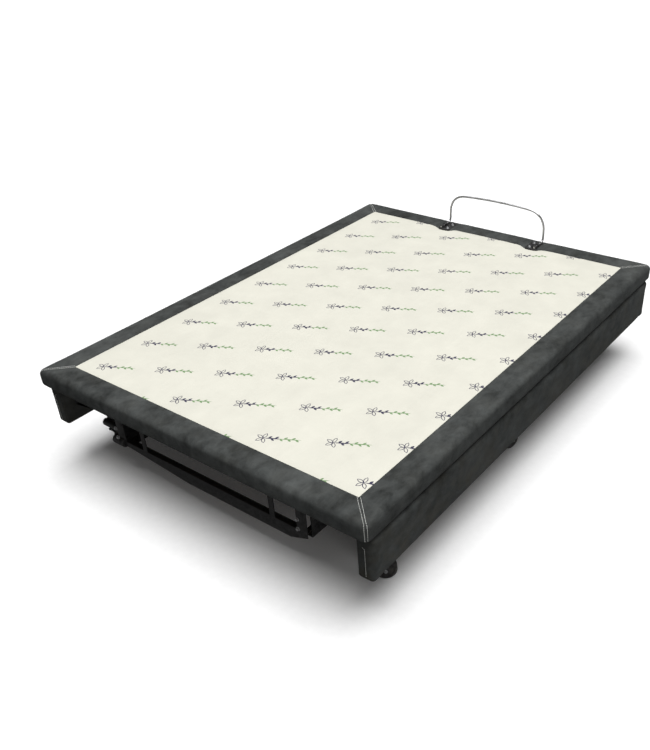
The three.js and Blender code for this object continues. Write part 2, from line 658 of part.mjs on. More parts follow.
// ---------------------------------------------------------------- lift arms
// Two slotted lever plates. The actuator's eye pin runs in the slots and is at their outer ends both at rest
// and at full tilt, because the eye moves along the chord of the lever's arc.
function leverPlates(x, pivot, eye, swing, base) {
  const middle = { y: (base[0][0] + base[1][0]) / 2, z: (base[0][1] + base[1][1]) / 2 };
  const along = Math.atan2(middle.z - eye.z, middle.y - eye.y);
  const beside = { y: -Math.sin(along) * CLEVIS_RADIUS, z: Math.cos(along) * CLEVIS_RADIUS };
  const web = polygon([
    [eye.y - beside.y, eye.z - beside.z],
    base[1],
    base[0],
    [eye.y + beside.y, eye.z + beside.z],
  ]);
  const spans = [-1, 1].map((side) => clevisSpan(x, side));
  const plates = spans.flatMap((span) => [alongX(web, span), rodX(CLEVIS_RADIUS, span, eye.y, eye.z)]);
  const inward = Math.atan2(pivot.z - eye.z, pivot.y - eye.y);
  const run = swing.sag + SLOT_CLEARANCE;
  const slotEnd = { y: eye.y + run * Math.cos(inward), z: eye.z + run * Math.sin(inward) };
  const slot = strap(eye, slotEnd, 2 * (CLEVIS_PIN_RADIUS + SLOT_CLEARANCE));
  return cut(join(...plates), alongX(slot, [spans[0][0] - 1, spans[1][1] + 1]));
}

// The head section's arm: a tube bolted across the board through two foot plates, with the lever under it.
function headLiftArm() {
  const top = boardBottom - GAP;
  const y = [headHinge.y - HEAD_ARM_SETBACK - HEAD_ARM_TUBE, headHinge.y - HEAD_ARM_SETBACK];
  const z = [top - HEAD_ARM_TUBE, top];
  const end = headArmEnd;
  const wall = MOTOR_TUBE.wall;
  const tube = cut(
    box([-end, end], y, z),
    box([-end - 1, end + 1], [y[0] + wall, y[1] - wall], [z[0] + wall, z[1] - wall]),
  );
  const feet = [-1, 1].map((side) =>
    box(
      onSide(side)(end - HEAD_ARM_FOOT.width, end),
      [y[0] - HEAD_ARM_FOOT.length, y[0] + wall],
      [top - STEEL, top],
    ),
  );
  const base = [[y[0], z[0] + wall / 2], [y[1], z[0] + wall / 2]];
  return join(tube, ...feet, leverPlates(-ACTUATOR_X, headHinge, headEye, headSwing, base));
}

// The lift frame: a cross tube turning in the chassis, a lever under it, and two arms to the foot section.
function legLiftFrame() {
  const tube = rodX(LIFT_TUBE_RADIUS, [-liftArmX + 1, liftArmX - 1], liftPivot.y, liftPivot.z);
  const journal = flangeInner + BEARING_PLATE + FORK_WALL;
  const journals = rodX(JOURNAL_RADIUS, [-journal, journal], liftPivot.y, liftPivot.z);
  const pinEnd = liftArmX + FOOT_BRACKET.gap + BEARING_PLATE + FORK_WALL;
  const arms = [-1, 1].flatMap((side) => {
    const span = onSide(side)(liftArmX - LIFT_ARM_THICKNESS, liftArmX);
    const pin = onSide(side)(liftArmX - 1, pinEnd);
    return [
      alongX(strap(liftPivot, linkPivot, LIFT_ARM_WIDTH), span),
      rodX(LINK_PIN_RADIUS, pin, linkPivot.y, linkPivot.z),
    ];
  });
  const base = [[liftPivot.y - CLEVIS_RADIUS, liftPivot.z], [liftPivot.y + CLEVIS_RADIUS, liftPivot.z]];
  return join(tube, journals, ...arms, leverPlates(ACTUATOR_X, liftPivot, legEye, legSwing, base));
}

// A bracket under the foot section, with the hole that the lift frame's pin turns in.
function footBracket(side) {
  const span = onSide(side);
  const top = boardBottom - GAP;
  const inner = liftArmX + FOOT_BRACKET.gap;
  const y = [kneeHinge.y + FOOT_BRACKET.setback, kneeHinge.y + FOOT_BRACKET.setback + FOOT_BRACKET.length];
  const plateX = span(inner, inner + BEARING_PLATE);
  const web = polygon([
    [linkPivot.y - FOOT_BRACKET.radius, linkPivot.z],
    [linkPivot.y + FOOT_BRACKET.radius, linkPivot.z],
    [y[1], top],
    [linkPivot.y - FOOT_BRACKET.radius, top],
  ]);
  const flangeX = span(inner + BEARING_PLATE - FOOT_BRACKET.flange, inner + BEARING_PLATE);
  const plate = join(
    alongX(web, plateX),
    rodX(FOOT_BRACKET.radius, plateX, linkPivot.y, linkPivot.z),
    box(flangeX, y, [top - STEEL, top]),
  );
  const holeX = span(inner - 1, inner + BEARING_PLATE + 1);
  return cut(plate, rodX(LINK_PIN_RADIUS + LINK_CLEARANCE, holeX, linkPivot.y, linkPivot.z));
}

// ---------------------------------------------------------------- actuators
// Drawn about the fixed pivot, with the rod running out along +Y.
function actuatorBody(sleeve, rodInside) {
  const eyeX = [-EYE_WIDTH / 2, EYE_WIDTH / 2];
  const gearboxEnd = GEARBOX.from + GEARBOX.length;
  const gearbox = box(
    [-GEARBOX.half, MOTOR_OFFSET + MOTOR_RADIUS],
    [GEARBOX.from, gearboxEnd],
    [-GEARBOX.height / 2, GEARBOX.height / 2],
  );
  const eye = join(
    rodX(EYE_RADIUS, eyeX, 0, 0),
    box(eyeX, [0, GEARBOX.from + 1], [-EYE_RADIUS, EYE_RADIUS]),
  );
  const motor = rodY(MOTOR_RADIUS, MOTOR_OFFSET, [gearboxEnd - 1, gearboxEnd + MOTOR_LENGTH], 0, 24);
  const tube = rodY(SLEEVE_RADIUS, 0, [gearboxEnd - 1, sleeve], 0, 24);
  const bore = rodY(ROD_RADIUS + ROD_CLEARANCE, 0, [sleeve - rodInside - EYE_RADIUS, sleeve + 1], 0);
  const hole = rodX(CLEVIS_PIN_RADIUS + EYE_CLEARANCE, [-EYE_WIDTH, EYE_WIDTH], 0, 0);
  return cut(join(gearbox, eye, motor, tube), bore, hole);
}

function actuatorRod(length, sleeve, rodInside) {
  const reach = CLEVIS_GAP / 2 + CLEVIS_PLATE;
  return join(
    rodY(ROD_RADIUS, 0, [sleeve - rodInside, length - 1], 0),
    rodX(EYE_RADIUS, [-EYE_WIDTH / 2, EYE_WIDTH / 2], length, 0),
    rodX(CLEVIS_PIN_RADIUS, [-reach, reach], length, 0),
  );
}

function addActuator(name, { pivot, eye, x, sleeve, rodInside }) {
  const group = new THREE.Group();
  group.position.set(x, pivot.y, pivot.z);
  group.rotation.z = eye.y < pivot.y ? Math.PI : 0;
  root.add(group);
  const length = Math.abs(eye.y - pivot.y);
  add(group, name, actuatorBody(sleeve, rodInside), blackPlastic);
  add(group, name + "_rod", actuatorRod(length, sleeve, rodInside), aluminium);
}

// ---------------------------------------------------------------- castors
// Drawn about the stem, on the floor, rolling along Y.
function castorFork() {
  const inner = WHEEL_WIDTH / 2 + FORK_SIDE_GAP;
  const outer = inner + FORK_WALL;
  const crownBottom = crownTop - CROWN;
  const ends = [-CROWN_RADIUS, TRAIL + STEM_RADIUS];
  const round = [STEM_RADIUS, STEM_RADIUS, STEM_RADIUS, STEM_RADIUS];
  const crown = alongZ(rounded([-outer, outer], ends, round), [crownBottom, crownTop]);
  const boss = 3 * AXLE_RADIUS;
  const web = polygon([
    [TRAIL - boss, WHEEL_RADIUS],
    [TRAIL + boss, WHEEL_RADIUS],
    [TRAIL, crownBottom + 1],
    [-CROWN_RADIUS + STEM_RADIUS, crownBottom + 1],
  ]);
  const sides = [-1, 1].flatMap((side) => {
    const span = onSide(side)(inner, outer);
    return [alongX(web, span), rodX(boss, span, TRAIL, WHEEL_RADIUS)];
  });
  const axle = rodX(AXLE_RADIUS, [-outer, outer], TRAIL, WHEEL_RADIUS, 12);
  const stem = rodZ(STEM_RADIUS, 0, 0, [crownTop - 1, crownTop + STEM_LENGTH], 12);
  return join(crown, ...sides, axle, stem);
}

function castorWheel() {
  const bore = AXLE_RADIUS + WHEEL_BORE_CLEARANCE;
  const side = WHEEL_WIDTH / 2;
  const shoulder = WHEEL_EDGE * (1 - Math.SQRT1_2);
  const face = [
    [WHEEL_RADIUS, side - WHEEL_EDGE],
    [WHEEL_RADIUS - shoulder, side - shoulder],
    [WHEEL_RADIUS - WHEEL_EDGE, side],
    [bore, side],
  ];
  const otherFace = face.map(([r, x]) => [r, -x]).reverse();
  const outline = [...face, ...otherFace, face[0]].map(([r, x]) => new THREE.Vector2(r, x));
  const lathe = new THREE.LatheGeometry(outline, 24).rotateZ(-Math.PI / 2);
  return solid(lathe.translate(0, TRAIL, WHEEL_RADIUS));
}

function addCastor(place, side, turn) {
  const group = new THREE.Group();
  group.position.set(side * legX, beamY[place], 0);
  group.rotation.z = radians(turn);
  root.add(group);
  const name = `${place}_${side < 0 ? "left" : "right"}_castor`;
  add(group, name + "_fork", castorFork(), blackSteel);
  add(group, name + "_wheel", castorWheel(), tread);
}

// ---------------------------------------------------------------- control box and power supply
// A box under the seat board with sockets in its foot-end face.
function underSeatBox({ width, length, height, clearance, y }, side, sockets) {
  const x = side * (flangeInner - clearance - width / 2);
  const middle = (headHinge.y + thighHinge.y) / 2 + y;
  const top = boardBottom - GAP;
  const face = middle + length / 2;
  const round = [BOX_EDGE, BOX_EDGE, BOX_TOP_EDGE, BOX_TOP_EDGE];
  const section = rounded([x - width / 2, x + width / 2], [top - height, top], round);
  const shell = alongY(section, [middle - length / 2, face]);
  const tools = Array.from({ length: sockets }, (_, i) => {
    const centre = x + (i - (sockets - 1) / 2) * 2 * SOCKET.width;
    return box(
      [centre - SOCKET.width / 2, centre + SOCKET.width / 2],
      [face - SOCKET.depth, face + 1],
      [top - height / 2 - SOCKET.height / 2, top - height / 2 + SOCKET.height / 2],
    );
  });
  return cut(shell, ...tools);
}

// ---------------------------------------------------------------- mattress retainer
const plateBottom = DECK_HEIGHT - PLATE.recess + GAP;
const plateTop = plateBottom + PLATE.thickness;
const wireZ = plateTop + GAP + BAR_WIRE;
const plateY = [half.y - PLATE.inset - PLATE.length, half.y - PLATE.inset];
const wireX = BAR_SPAN / 2;

function retainerPlate(side) {
  const x = onSide(side)(wireX + PLATE.outer - PLATE.width, wireX + PLATE.outer);
  const round = [BOX_EDGE, BOX_EDGE, BOX_EDGE, BOX_EDGE];
  const plate = alongZ(rounded(x, plateY, round), [plateBottom, plateTop]);
  const starts = [0, 1].map((i) => plateY[0] + SADDLE.setback + i * SADDLE.pitch);
  const saddles = starts.map((y) =>
    common(
      rodY(SADDLE.radius, side * wireX, [y, y + SADDLE.length], wireZ),
      box(x, plateY, [plateBottom, wireZ + SADDLE.radius]),
    ),
  );
  const hole = rodY(BAR_WIRE + SADDLE.clearance, side * wireX, [plateY[0] - 1, plateY[1] + 1], wireZ);
  return cut(join(plate, ...saddles), hole);
}

function retainerBar() {
  const upright = half.y - BAR_INSET;
  const top = DECK_HEIGHT + BAR_RISE - BAR_WIRE;
  const shoulder = top - BAR_ARCH;
  const at = (x, y, z) => new THREE.Vector3(x, y, z);
  const path = new THREE.CurvePath();
  const bend = (from, corner, to) => path.add(new THREE.QuadraticBezierCurve3(from, corner, to));
  const line = (from, to) => path.add(new THREE.LineCurve3(from, to));
  const leg = (side) => ({
    end: at(side * wireX, plateY[0] + SADDLE.setback - WIRE_TAIL, wireZ),
    foot: at(side * wireX, upright - BAR_FOOT_BEND, wireZ),
    footCorner: at(side * wireX, upright, wireZ),
    rise: at(side * wireX, upright, wireZ + BAR_FOOT_BEND),
    neck: at(side * wireX, upright, shoulder - BAR_CORNER),
    corner: at(side * wireX, upright, shoulder),
    top: at(side * (wireX - BAR_CORNER), upright, shoulder + BAR_ARCH / 2),
  });
  const left = leg(-1);
  const right = leg(1);
  line(left.end, left.foot);
  bend(left.foot, left.footCorner, left.rise);
  line(left.rise, left.neck);
  bend(left.neck, left.corner, left.top);
  bend(left.top, at(0, upright, top + BAR_ARCH / 2), right.top);
  bend(right.top, right.corner, right.neck);
  line(right.neck, right.rise);
  bend(right.rise, right.footCorner, right.foot);
  line(right.foot, right.end);
  const section = new THREE.Shape().absarc(0, 0, BAR_WIRE, 0, 2 * Math.PI);
  const sweep = { steps: WIRE_STEPS, extrudePath: path, curveSegments: STEPS };
  return solid(new THREE.ExtrudeGeometry(section, sweep));
}

// The padding is pressed down under each retainer plate and where the wire crosses the edge of the deck.
function plateHollows() {
  return [-1, 1].map((side) => {
    const outer = wireX + PLATE.outer + PLATE.margin;
    const inner = wireX + PLATE.outer - PLATE.width - PLATE.margin;
    return box(
      onSide(side)(inner, outer),
      [plateY[0] - PLATE.margin, half.y + 1],
      [DECK_HEIGHT - PLATE.recess, DECK_HEIGHT + 1],
    );
  });
}

// ---------------------------------------------------------------- assembly
const groupOf = (name) => {
  const group = new THREE.Group();
  group.name = name;
  root.add(group);
  return group;
};
const deck = groupOf("deck");
const rails = groupOf("rails");
const chassis = groupOf("chassis");
const mechanism = groupOf("mechanism");
const retainer = groupOf("retainer");

const sections = [
  ["head", headEdge, headFold],
  ["seat", headFold, thighFold],
  ["thigh", thighFold, kneeFold],
  ["foot", kneeFold, footEdge],
];
for (const [name, low, high] of sections) {
  const padding = pad(low, high);
  add(deck, name + "_board", board(low, high), plywood);
  add(deck, name + "_pad", name === "foot" ? cut(padding, ...plateHollows()) : padding, upholstery);
}

// The seat's leaf stays put at the head and thigh hinges, and the thigh's leaf carries the foot's leaf.
const hinges = [
  ["head", headFold, 1],
  ["thigh", thighFold, -1],
  ["knee", kneeFold, -1],
];
for (const [name, fold, fixedSide] of hinges) {
  add(deck, name + "_hinge_carrying_leaf", leaf(fold, fixedSide, 0), zinc);
  add(deck, name + "_hinge_moving_leaf", leaf(fold, -fixedSide, 1), zinc);
  add(deck, name + "_hinge_pin", hingePin(fold), zinc);
}

const sides = [
  ["left", -1],
  ["right", 1],
];
for (const [name, side] of sides) {
  const rail = sideRail(side);
  add(rails, name + "_rail_board", rail.plank, plywood);
  add(rails, name + "_rail_cover", rail.cover, upholstery);
  add(chassis, name + "_chassis_channel", chassisSide(side), blackSteel);
  add(mechanism, name + "_foot_bracket", footBracket(side), blackSteel);
  add(retainer, name + "_retainer_plate", retainerPlate(side), blackSteel);
}
const footEndRail = footRail();
add(rails, "foot_rail_board", footEndRail.plank, plywood);
add(rails, "foot_rail_cover", footEndRail.cover, upholstery);

add(chassis, "head_end_frame", headEndFrame(), blackSteel);
add(chassis, "foot_end_frame", endFrame(1), blackSteel);
add(chassis, "side_spigot", sideSpigot(), blackSteel);
add(chassis, "spigot_cap", spigotCap(), greyPlastic);
for (const place of Object.keys(beamY)) add(chassis, place + "_cross_beam", crossBeam(place), blackSteel);
add(chassis, "head_motor_tube", motorTube(headPivot, -ACTUATOR_X, 1), blackSteel);
add(chassis, "leg_motor_tube", motorTube(legPivot, ACTUATOR_X, -1), blackSteel);
add(chassis, "control_box", underSeatBox(CONTROL_BOX, 1, 3), blackPlastic);
add(chassis, "power_supply", underSeatBox(POWER_SUPPLY, -1, 1), blackPlastic);

for (const [place, turns] of Object.entries(CASTOR_TURNS))
  turns.forEach((turn, i) => addCastor(place, i ? 1 : -1, turn));

add(mechanism, "head_lift_arm", headLiftArm(), blackSteel);
add(mechanism, "leg_lift_frame", legLiftFrame(), blackSteel);
addActuator("head_actuator", {
  pivot: headPivot,
  eye: headEye,
  x: -ACTUATOR_X,
  sleeve: HEAD_SLEEVE,
  rodInside: HEAD_ROD_INSIDE,
});
addActuator("leg_actuator", {
  pivot: legPivot,
  eye: legEye,
  x: ACTUATOR_X,
  sleeve: LEG_SLEEVE,
  rodInside: LEG_ROD_INSIDE,
});
add(retainer, "retainer_bar", retainerBar(), wire);

export default root;
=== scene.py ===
import json
import math
from contextlib import contextmanager

import bmesh
import bpy
import numpy as np
from mathutils import Matrix, Vector
from mathutils.bvhtree import BVHTree

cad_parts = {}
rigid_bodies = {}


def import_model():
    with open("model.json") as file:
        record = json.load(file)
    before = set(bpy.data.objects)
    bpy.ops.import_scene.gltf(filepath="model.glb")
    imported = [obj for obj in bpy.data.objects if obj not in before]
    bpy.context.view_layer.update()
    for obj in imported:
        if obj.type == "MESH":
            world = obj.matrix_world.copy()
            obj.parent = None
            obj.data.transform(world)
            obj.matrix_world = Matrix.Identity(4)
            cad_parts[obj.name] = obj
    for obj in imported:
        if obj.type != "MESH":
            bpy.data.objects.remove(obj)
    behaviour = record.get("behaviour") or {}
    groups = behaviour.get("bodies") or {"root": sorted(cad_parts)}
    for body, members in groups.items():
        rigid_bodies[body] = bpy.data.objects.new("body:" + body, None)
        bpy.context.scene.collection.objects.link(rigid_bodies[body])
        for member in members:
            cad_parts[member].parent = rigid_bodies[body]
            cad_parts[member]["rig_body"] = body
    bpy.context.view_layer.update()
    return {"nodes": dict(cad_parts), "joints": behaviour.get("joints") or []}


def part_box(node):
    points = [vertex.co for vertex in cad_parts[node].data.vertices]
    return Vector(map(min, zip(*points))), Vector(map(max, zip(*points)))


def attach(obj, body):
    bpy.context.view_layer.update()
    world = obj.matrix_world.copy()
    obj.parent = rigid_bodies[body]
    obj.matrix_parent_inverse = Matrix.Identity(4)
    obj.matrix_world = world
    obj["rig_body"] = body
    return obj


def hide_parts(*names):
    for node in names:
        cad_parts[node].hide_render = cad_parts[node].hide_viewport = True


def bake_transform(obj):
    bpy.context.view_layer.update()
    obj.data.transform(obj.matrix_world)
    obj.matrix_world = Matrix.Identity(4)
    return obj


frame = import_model()

# An adjustable bed base in metres, with +Z up and the head end towards -Y.


# ---- sizes taken from the frame
def middle_of(node):
    low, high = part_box(node)
    return (low + high) / 2


joints = {joint["name"]: joint for joint in frame["joints"]}
head_hinge, thigh_hinge, knee_hinge = (
    Vector(joints[name]["pos_m"]) for name in ("head_tilt", "thigh_tilt", "knee_fold")
)
deck_low = Vector(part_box("head_pad")[0])
deck_high = Vector(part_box("foot_pad")[1])
board_top = head_hinge.z
seat_middle = (head_hinge.y + thigh_hinge.y) / 2
thigh_middle = (thigh_hinge.y + knee_hinge.y) / 2

SIDES = {"left": -1, "right": 1}
PLACES = ("head", "middle", "foot")

# ---- upholstery sizes
TOP_ROUND = 0.016
UNDER_ROUND = 0.008
CORNER_ROUND = 0.022
SKIRT = 0.012  # cover beside a board
POCKET_GAP = 0.0004  # cover above a board
SIDE_BORDER = 0.101  # dark border beside the printed panel
END_BORDER = 0.098
SEAM_SIDE = 0.006  # the hollow each side of a seam
SEAM_DEPTH = 0.0028
PANEL_THICKNESS = 0.002
PANEL_BED = 0.0034  # the foam is this far below the panel's face
GRID = 0.02  # spacing of the points that the cover bends at
HINGE_RELIEF = 0.009  # foam hollowed out over a hinge, where the deck folds
BEND_REACH = 0.07  # sets how far each side of a hinge its hollow in the foam reaches
DECK_SAG = 0.004  # the deck is worn a little hollow in the middle
SCALLOP = 0.014  # how far the retainer plates draw the panel's edge in

panel_half = Vector((deck_high.x - SIDE_BORDER, deck_high.y - END_BORDER))
PLATE_X = abs(middle_of("left_retainer_plate").x)

RAIL_ROUND = 0.013
RAIL_BACK_ROUND = 0.004
RAIL_BOARD = 0.018
RAIL_HEM = 0.0015  # cover beside a rail's board
RAIL_GRID = 0.02
RAIL_GRID_ALONG = 0.024

BORDER_SWELL = 0.0042  # the furthest that foam pushes each cover out
PANEL_SWELL = 0.001
RAIL_SWELL = 0.0035
SWELL_PRESSURE = 4.0
SWELL_FRAMES = 20

STITCH_PITCH = 0.0066
STITCH_LENGTH = 0.0048
THREAD_RADIUS = 0.00085
STITCH_ROW_GAP = 0.0045  # each row's distance from its seam

PLATE_PRESS = 0.0085  # how deep a retainer plate sinks into the foam
PLATE_SLOPE = 0.02  # the foam beside a plate slopes over this width
PLATE_PULL_WIDTH = 0.055
PLATE_PULL_DEPTH = 0.045  # cover that the pull moves, along the bed
PLATE_BULGE_WIDTH = 0.15

STEEL_EDGE = 0.0009
WOOD_EDGE = 0.0008
CAP_EDGE = 0.0008  # the spigot's cap and the actuators' rams
ACTUATOR_EDGE = 0.003
CASE_EDGE = 0.0016
LINING_EDGE = 0.002
BOLT_SIZE = 0.0075
AXLE_BOLT_SIZE = 0.0065
AXLE_REACH = 0.02
WHEEL_GROOVE = 0.0045  # each groove's distance from the middle of the tread
WIRE_RADIUS = 0.0045
PIN_HEAD = (0.0095, 0.003, 0.0008)  # radius, thickness and eased edge
PIN_WASHER = (0.0125, 0.0025, 0.0006)
EYE_INSET = 0.015  # an eye's middle, in from the end of its rod

WHEEL_RADIUS = 0.038
WHEEL_WIDTH = 0.03
WHEEL_EDGE = 0.006
RACE_RADIUS = 0.019  # the swivel's ball race, and how far it is below the joint
RACE_HEIGHT = 0.005
RACE_DROP = 0.0085
RACE_EDGE = 0.0015
WHEEL_RINGS = (  # each ring inwards from the rim: its width, and how far it steps out
    (0.003, 0),
    (0.0015, -0.003),
    (0.0125, 0),
    (0.0015, 0.0024),
    (0.0035, 0),
    (0.0008, -0.0016),
)


# ---- hand tools
def put_down():
    """Leaves edit mode with nothing selected."""
    if bpy.context.mode != "OBJECT":
        bpy.ops.object.mode_set(mode="OBJECT")
    bpy.ops.object.select_all(action="DESELECT")


def take_up(piece):
    put_down()
    piece.select_set(True)
    bpy.context.view_layer.objects.active = piece


def made_piece(name):
    """The primitive just added, at the origin with its place in its mesh."""
    piece = bpy.context.object
    piece.name = name
    piece.data.name = name
    bpy.ops.object.transform_apply(location=True, rotation=True, scale=True)
    return piece


def block(name, low, high):
    put_down()
    size = [b - a for a, b in zip(low, high)]
    centre = [(a + b) / 2 for a, b in zip(low, high)]
    bpy.ops.mesh.primitive_cube_add(size=1, location=centre, scale=size)
    return made_piece(name)


TURNED = {"x": (0, math.pi / 2, 0), "y": (-math.pi / 2, 0, 0), "z": (0, 0, 0)}


def round_bar(name, radius, length, centre, axis="z", sides=32):
    put_down()
    bpy.ops.mesh.primitive_cylinder_add(
        vertices=sides, radius=radius, depth=length, location=centre, rotation=TURNED[axis]
    )
    return made_piece(name)


@contextmanager
def shaping(piece):
    take_up(piece)
    bpy.ops.object.mode_set(mode="EDIT")
    yield
    put_down()


def choose(piece, kind, passes):
    bpy.ops.mesh.select_mode(type=kind)
    bpy.ops.mesh.select_all(action="DESELECT")
    shape = bmesh.from_edit_mesh(piece.data)
    for part in shape.faces if kind == "FACE" else shape.edges:
        part.select_set(bool(passes(part)))
    bmesh.update_edit_mesh(piece.data)


def choose_faces(piece, test):
    """Selects the faces whose middle and direction pass the test."""
    choose(piece, "FACE", lambda face: test(face.calc_center_median(), face.normal))


def choose_edges(piece, test):
    """Selects the edges whose two ends pass the test."""
    choose(piece, "EDGE", lambda edge: test(edge.verts[0].co, edge.verts[1].co))


def choose_all():
    bpy.ops.mesh.select_mode(type="FACE")
    bpy.ops.mesh.select_all(action="SELECT")


def slice_at(axis, value):
    """Cuts the selection at one place along x, y or z."""
    direction = [float(axis == name) for name in "xyz"]
    bpy.ops.mesh.bisect(plane_co=[value * part for part in direction], plane_no=direction)


def slice_evenly(axis, low, high, spacing):
    count = max(1, round((high - low) / spacing))
    for i in range(1, count):
        choose_all()
        slice_at(axis, low + (high - low) * i / count)


def inset(thickness, depth=0.0):
    bpy.ops.mesh.inset(thickness=thickness, depth=depth, use_even_offset=True)


def push(x=0.0, y=0.0, z=0.0):
    """Extrudes the selected faces that far."""
    bpy.ops.mesh.extrude_region_move(TRANSFORM_OT_translate={"value": (x, y, z)})


def bevel_chosen(width, steps):
    bpy.ops.mesh.bevel(offset=width, segments=steps, profile=0.5, affect="EDGES")


def finished(piece, kind, **settings):
    """Adds a modifier with these settings and applies it."""
    take_up(piece)
    modifier = piece.modifiers.new(kind.title(), kind)
    for name, value in settings.items():
        setattr(modifier, name, value)
    bpy.ops.object.modifier_apply(modifier=modifier.name)
    return piece


def ease_edges(piece, width, steps=2, angle=35):
    return finished(
        piece,
        "BEVEL",
        width=width,
        segments=steps,
        limit_method="ANGLE",
        angle_limit=math.radians(angle),
        use_clamp_overlap=True,
        miter_outer="MITER_SHARP",
    )


def smooth(piece, angle=35):
    take_up(piece)
    bpy.ops.object.shade_smooth_by_angle(angle=math.radians(angle))
    return piece


def placed(name, data):
    """A new object in the scene."""
    made = bpy.data.objects.new(name, data)
    bpy.context.scene.collection.objects.link(made)
    return made


def copied(piece, name, matrix=None):
    twin = placed(name, piece.data.copy())
    if matrix is not None:
        twin.data.transform(matrix)
    return twin


def discard(piece):
    bpy.data.objects.remove(piece)


def joined(name, pieces):
    put_down()
    for piece in pieces:
        piece.select_set(True)
    bpy.context.view_layer.objects.active = pieces[0]
    if len(pieces) > 1:
        bpy.ops.object.join()
    pieces[0].name = name
    pieces[0].data.name = name
    return pieces[0]


def points_of(piece):
    flat = np.empty(len(piece.data.vertices) * 3)
    piece.data.vertices.foreach_get("co", flat)
    return flat.reshape(-1, 3)


def set_points(piece, points):
    piece.data.vertices.foreach_set("co", np.asarray(points, float).ravel())
    piece.data.update()


def bell(distance, width):
    return np.exp(-((distance / width) ** 2))


# ---- padding
def swell(piece, held, travel):
    """Blows the cover up from inside with its seams held, and caps how far a point may move."""
    rest = points_of(piece)
    take_up(piece)
    pins = piece.vertex_groups.new(name="seams")
    pins.add([int(i) for i in np.flatnonzero(held)], 1.0, "REPLACE")
    modifier = piece.modifiers.new("Cloth", "CLOTH")
    cloth = modifier.settings
    cloth.quality = 4
    cloth.mass = 0.3
    cloth.tension_stiffness = 20
    cloth.compression_stiffness = 20
    cloth.shear_stiffness = 8
    cloth.bending_stiffness = 0.6
    cloth.vertex_group_mass = pins.name
    cloth.use_pressure = True
    cloth.uniform_pressure_force = SWELL_PRESSURE
    cloth.effector_weights.gravity = 0
    modifier.point_cache.frame_start = 1
    modifier.point_cache.frame_end = SWELL_FRAMES
    for number in range(1, SWELL_FRAMES + 1):
        bpy.context.scene.frame_set(number)
    bpy.ops.object.modifier_apply(modifier=modifier.name)
    bpy.context.scene.frame_set(1)
    moved = points_of(piece) - rest
    far = np.linalg.norm(moved, axis=1)
    share = travel * np.tanh(far / travel) / np.maximum(far, 1e-9)
    set_points(piece, rest + moved * share[:, None])
    piece.vertex_groups.clear()


def keep_rest_place(piece):
    """Stores where each point lies at rest, which the fabric's pattern reads."""
    attribute = piece.data.attributes.new("rest_place", "FLOAT_VECTOR", "POINT")
    attribute.data.foreach_set("vector", points_of(piece).astype(np.float32).ravel())


# ---- the deck's cover
def cover_block():
    """The whole cover as one block, with round edges and a pocket underneath for the boards."""
    cover = block("deck_cover", deck_low, deck_high)
    with shaping(cover):
        choose_edges(cover, lambda a, b: abs(a.z - b.z) > 0.01)
        bevel_chosen(CORNER_ROUND, 4)
        choose_edges(cover, lambda a, b: min(a.z, b.z) > deck_high.z - 1e-5)
        bevel_chosen(TOP_ROUND, 4)
        choose_edges(cover, lambda a, b: max(a.z, b.z) < deck_low.z + 1e-5)
        bevel_chosen(UNDER_ROUND, 2)
        choose_faces(cover, lambda centre, normal: normal.z < -0.99)
        inset(SKIRT - UNDER_ROUND)
        push(z=board_top + POCKET_GAP - deck_low.z)
        slice_evenly("x", deck_low.x, deck_high.x, GRID)
        slice_evenly("y", deck_low.y, deck_high.y, GRID)
        for axis, seam in (("x", panel_half.x), ("y", panel_half.y)):
            for side in (-1, 1):
                for beside in (-SEAM_SIDE, 0, SEAM_SIDE):
                    choose_all()
                    slice_at(axis, side * (seam + beside))
        for x in (-1, 1):
            for y in (-1, 1):
                slice_mitre(cover, x, y)
    return cover


def mitre(x, y):
    """A border's mitre: the panel's corner that it starts from, its direction and the one across it."""
    run = Vector((x * SIDE_BORDER, y * END_BORDER, 0)).normalized()
    return Vector((x * panel_half.x, y * panel_half.y, 0)), run, Vector((-run.y, run.x, 0))


def slice_mitre(cover, x, y):
    """Cuts the border diagonally from a corner of the panel to a corner of the deck."""
    corner, _, across = mitre(x, y)
    for beside in (-SEAM_SIDE, 0, SEAM_SIDE):
        choose_faces(
            cover,
            lambda centre, normal: x * centre.x > panel_half.x
            and y * centre.y > panel_half.y
            and normal.z > -0.5
            and centre.z > board_top + 0.002,
        )
        bpy.ops.mesh.bisect(plane_co=corner + across * beside, plane_no=across)


def seam_marks(points):
    """How deep in a seam each point of the cover lies, from 0 to 1."""
    x, y, z = points.T
    on_face = z > board_top + 0.002
    ax, ay = np.abs(x), np.abs(y)
    inside = (ax < panel_half.x + SEAM_SIDE / 2) & (ay < panel_half.y + SEAM_SIDE / 2)
    edge = np.minimum(np.abs(ax - panel_half.x), np.abs(ay - panel_half.y))
    frame_seam = np.where(inside, bell(edge, SEAM_SIDE / 2), 0)
    off = (ax - panel_half.x) * END_BORDER - (ay - panel_half.y) * SIDE_BORDER
    off = np.abs(off) / math.hypot(SIDE_BORDER, END_BORDER)
    in_corner = (ax > panel_half.x - 1e-6) & (ay > panel_half.y - 1e-6)
    mitre_seam = np.where(in_corner, bell(off, SEAM_SIDE / 2), 0)
    return np.maximum(frame_seam, mitre_seam) * on_face


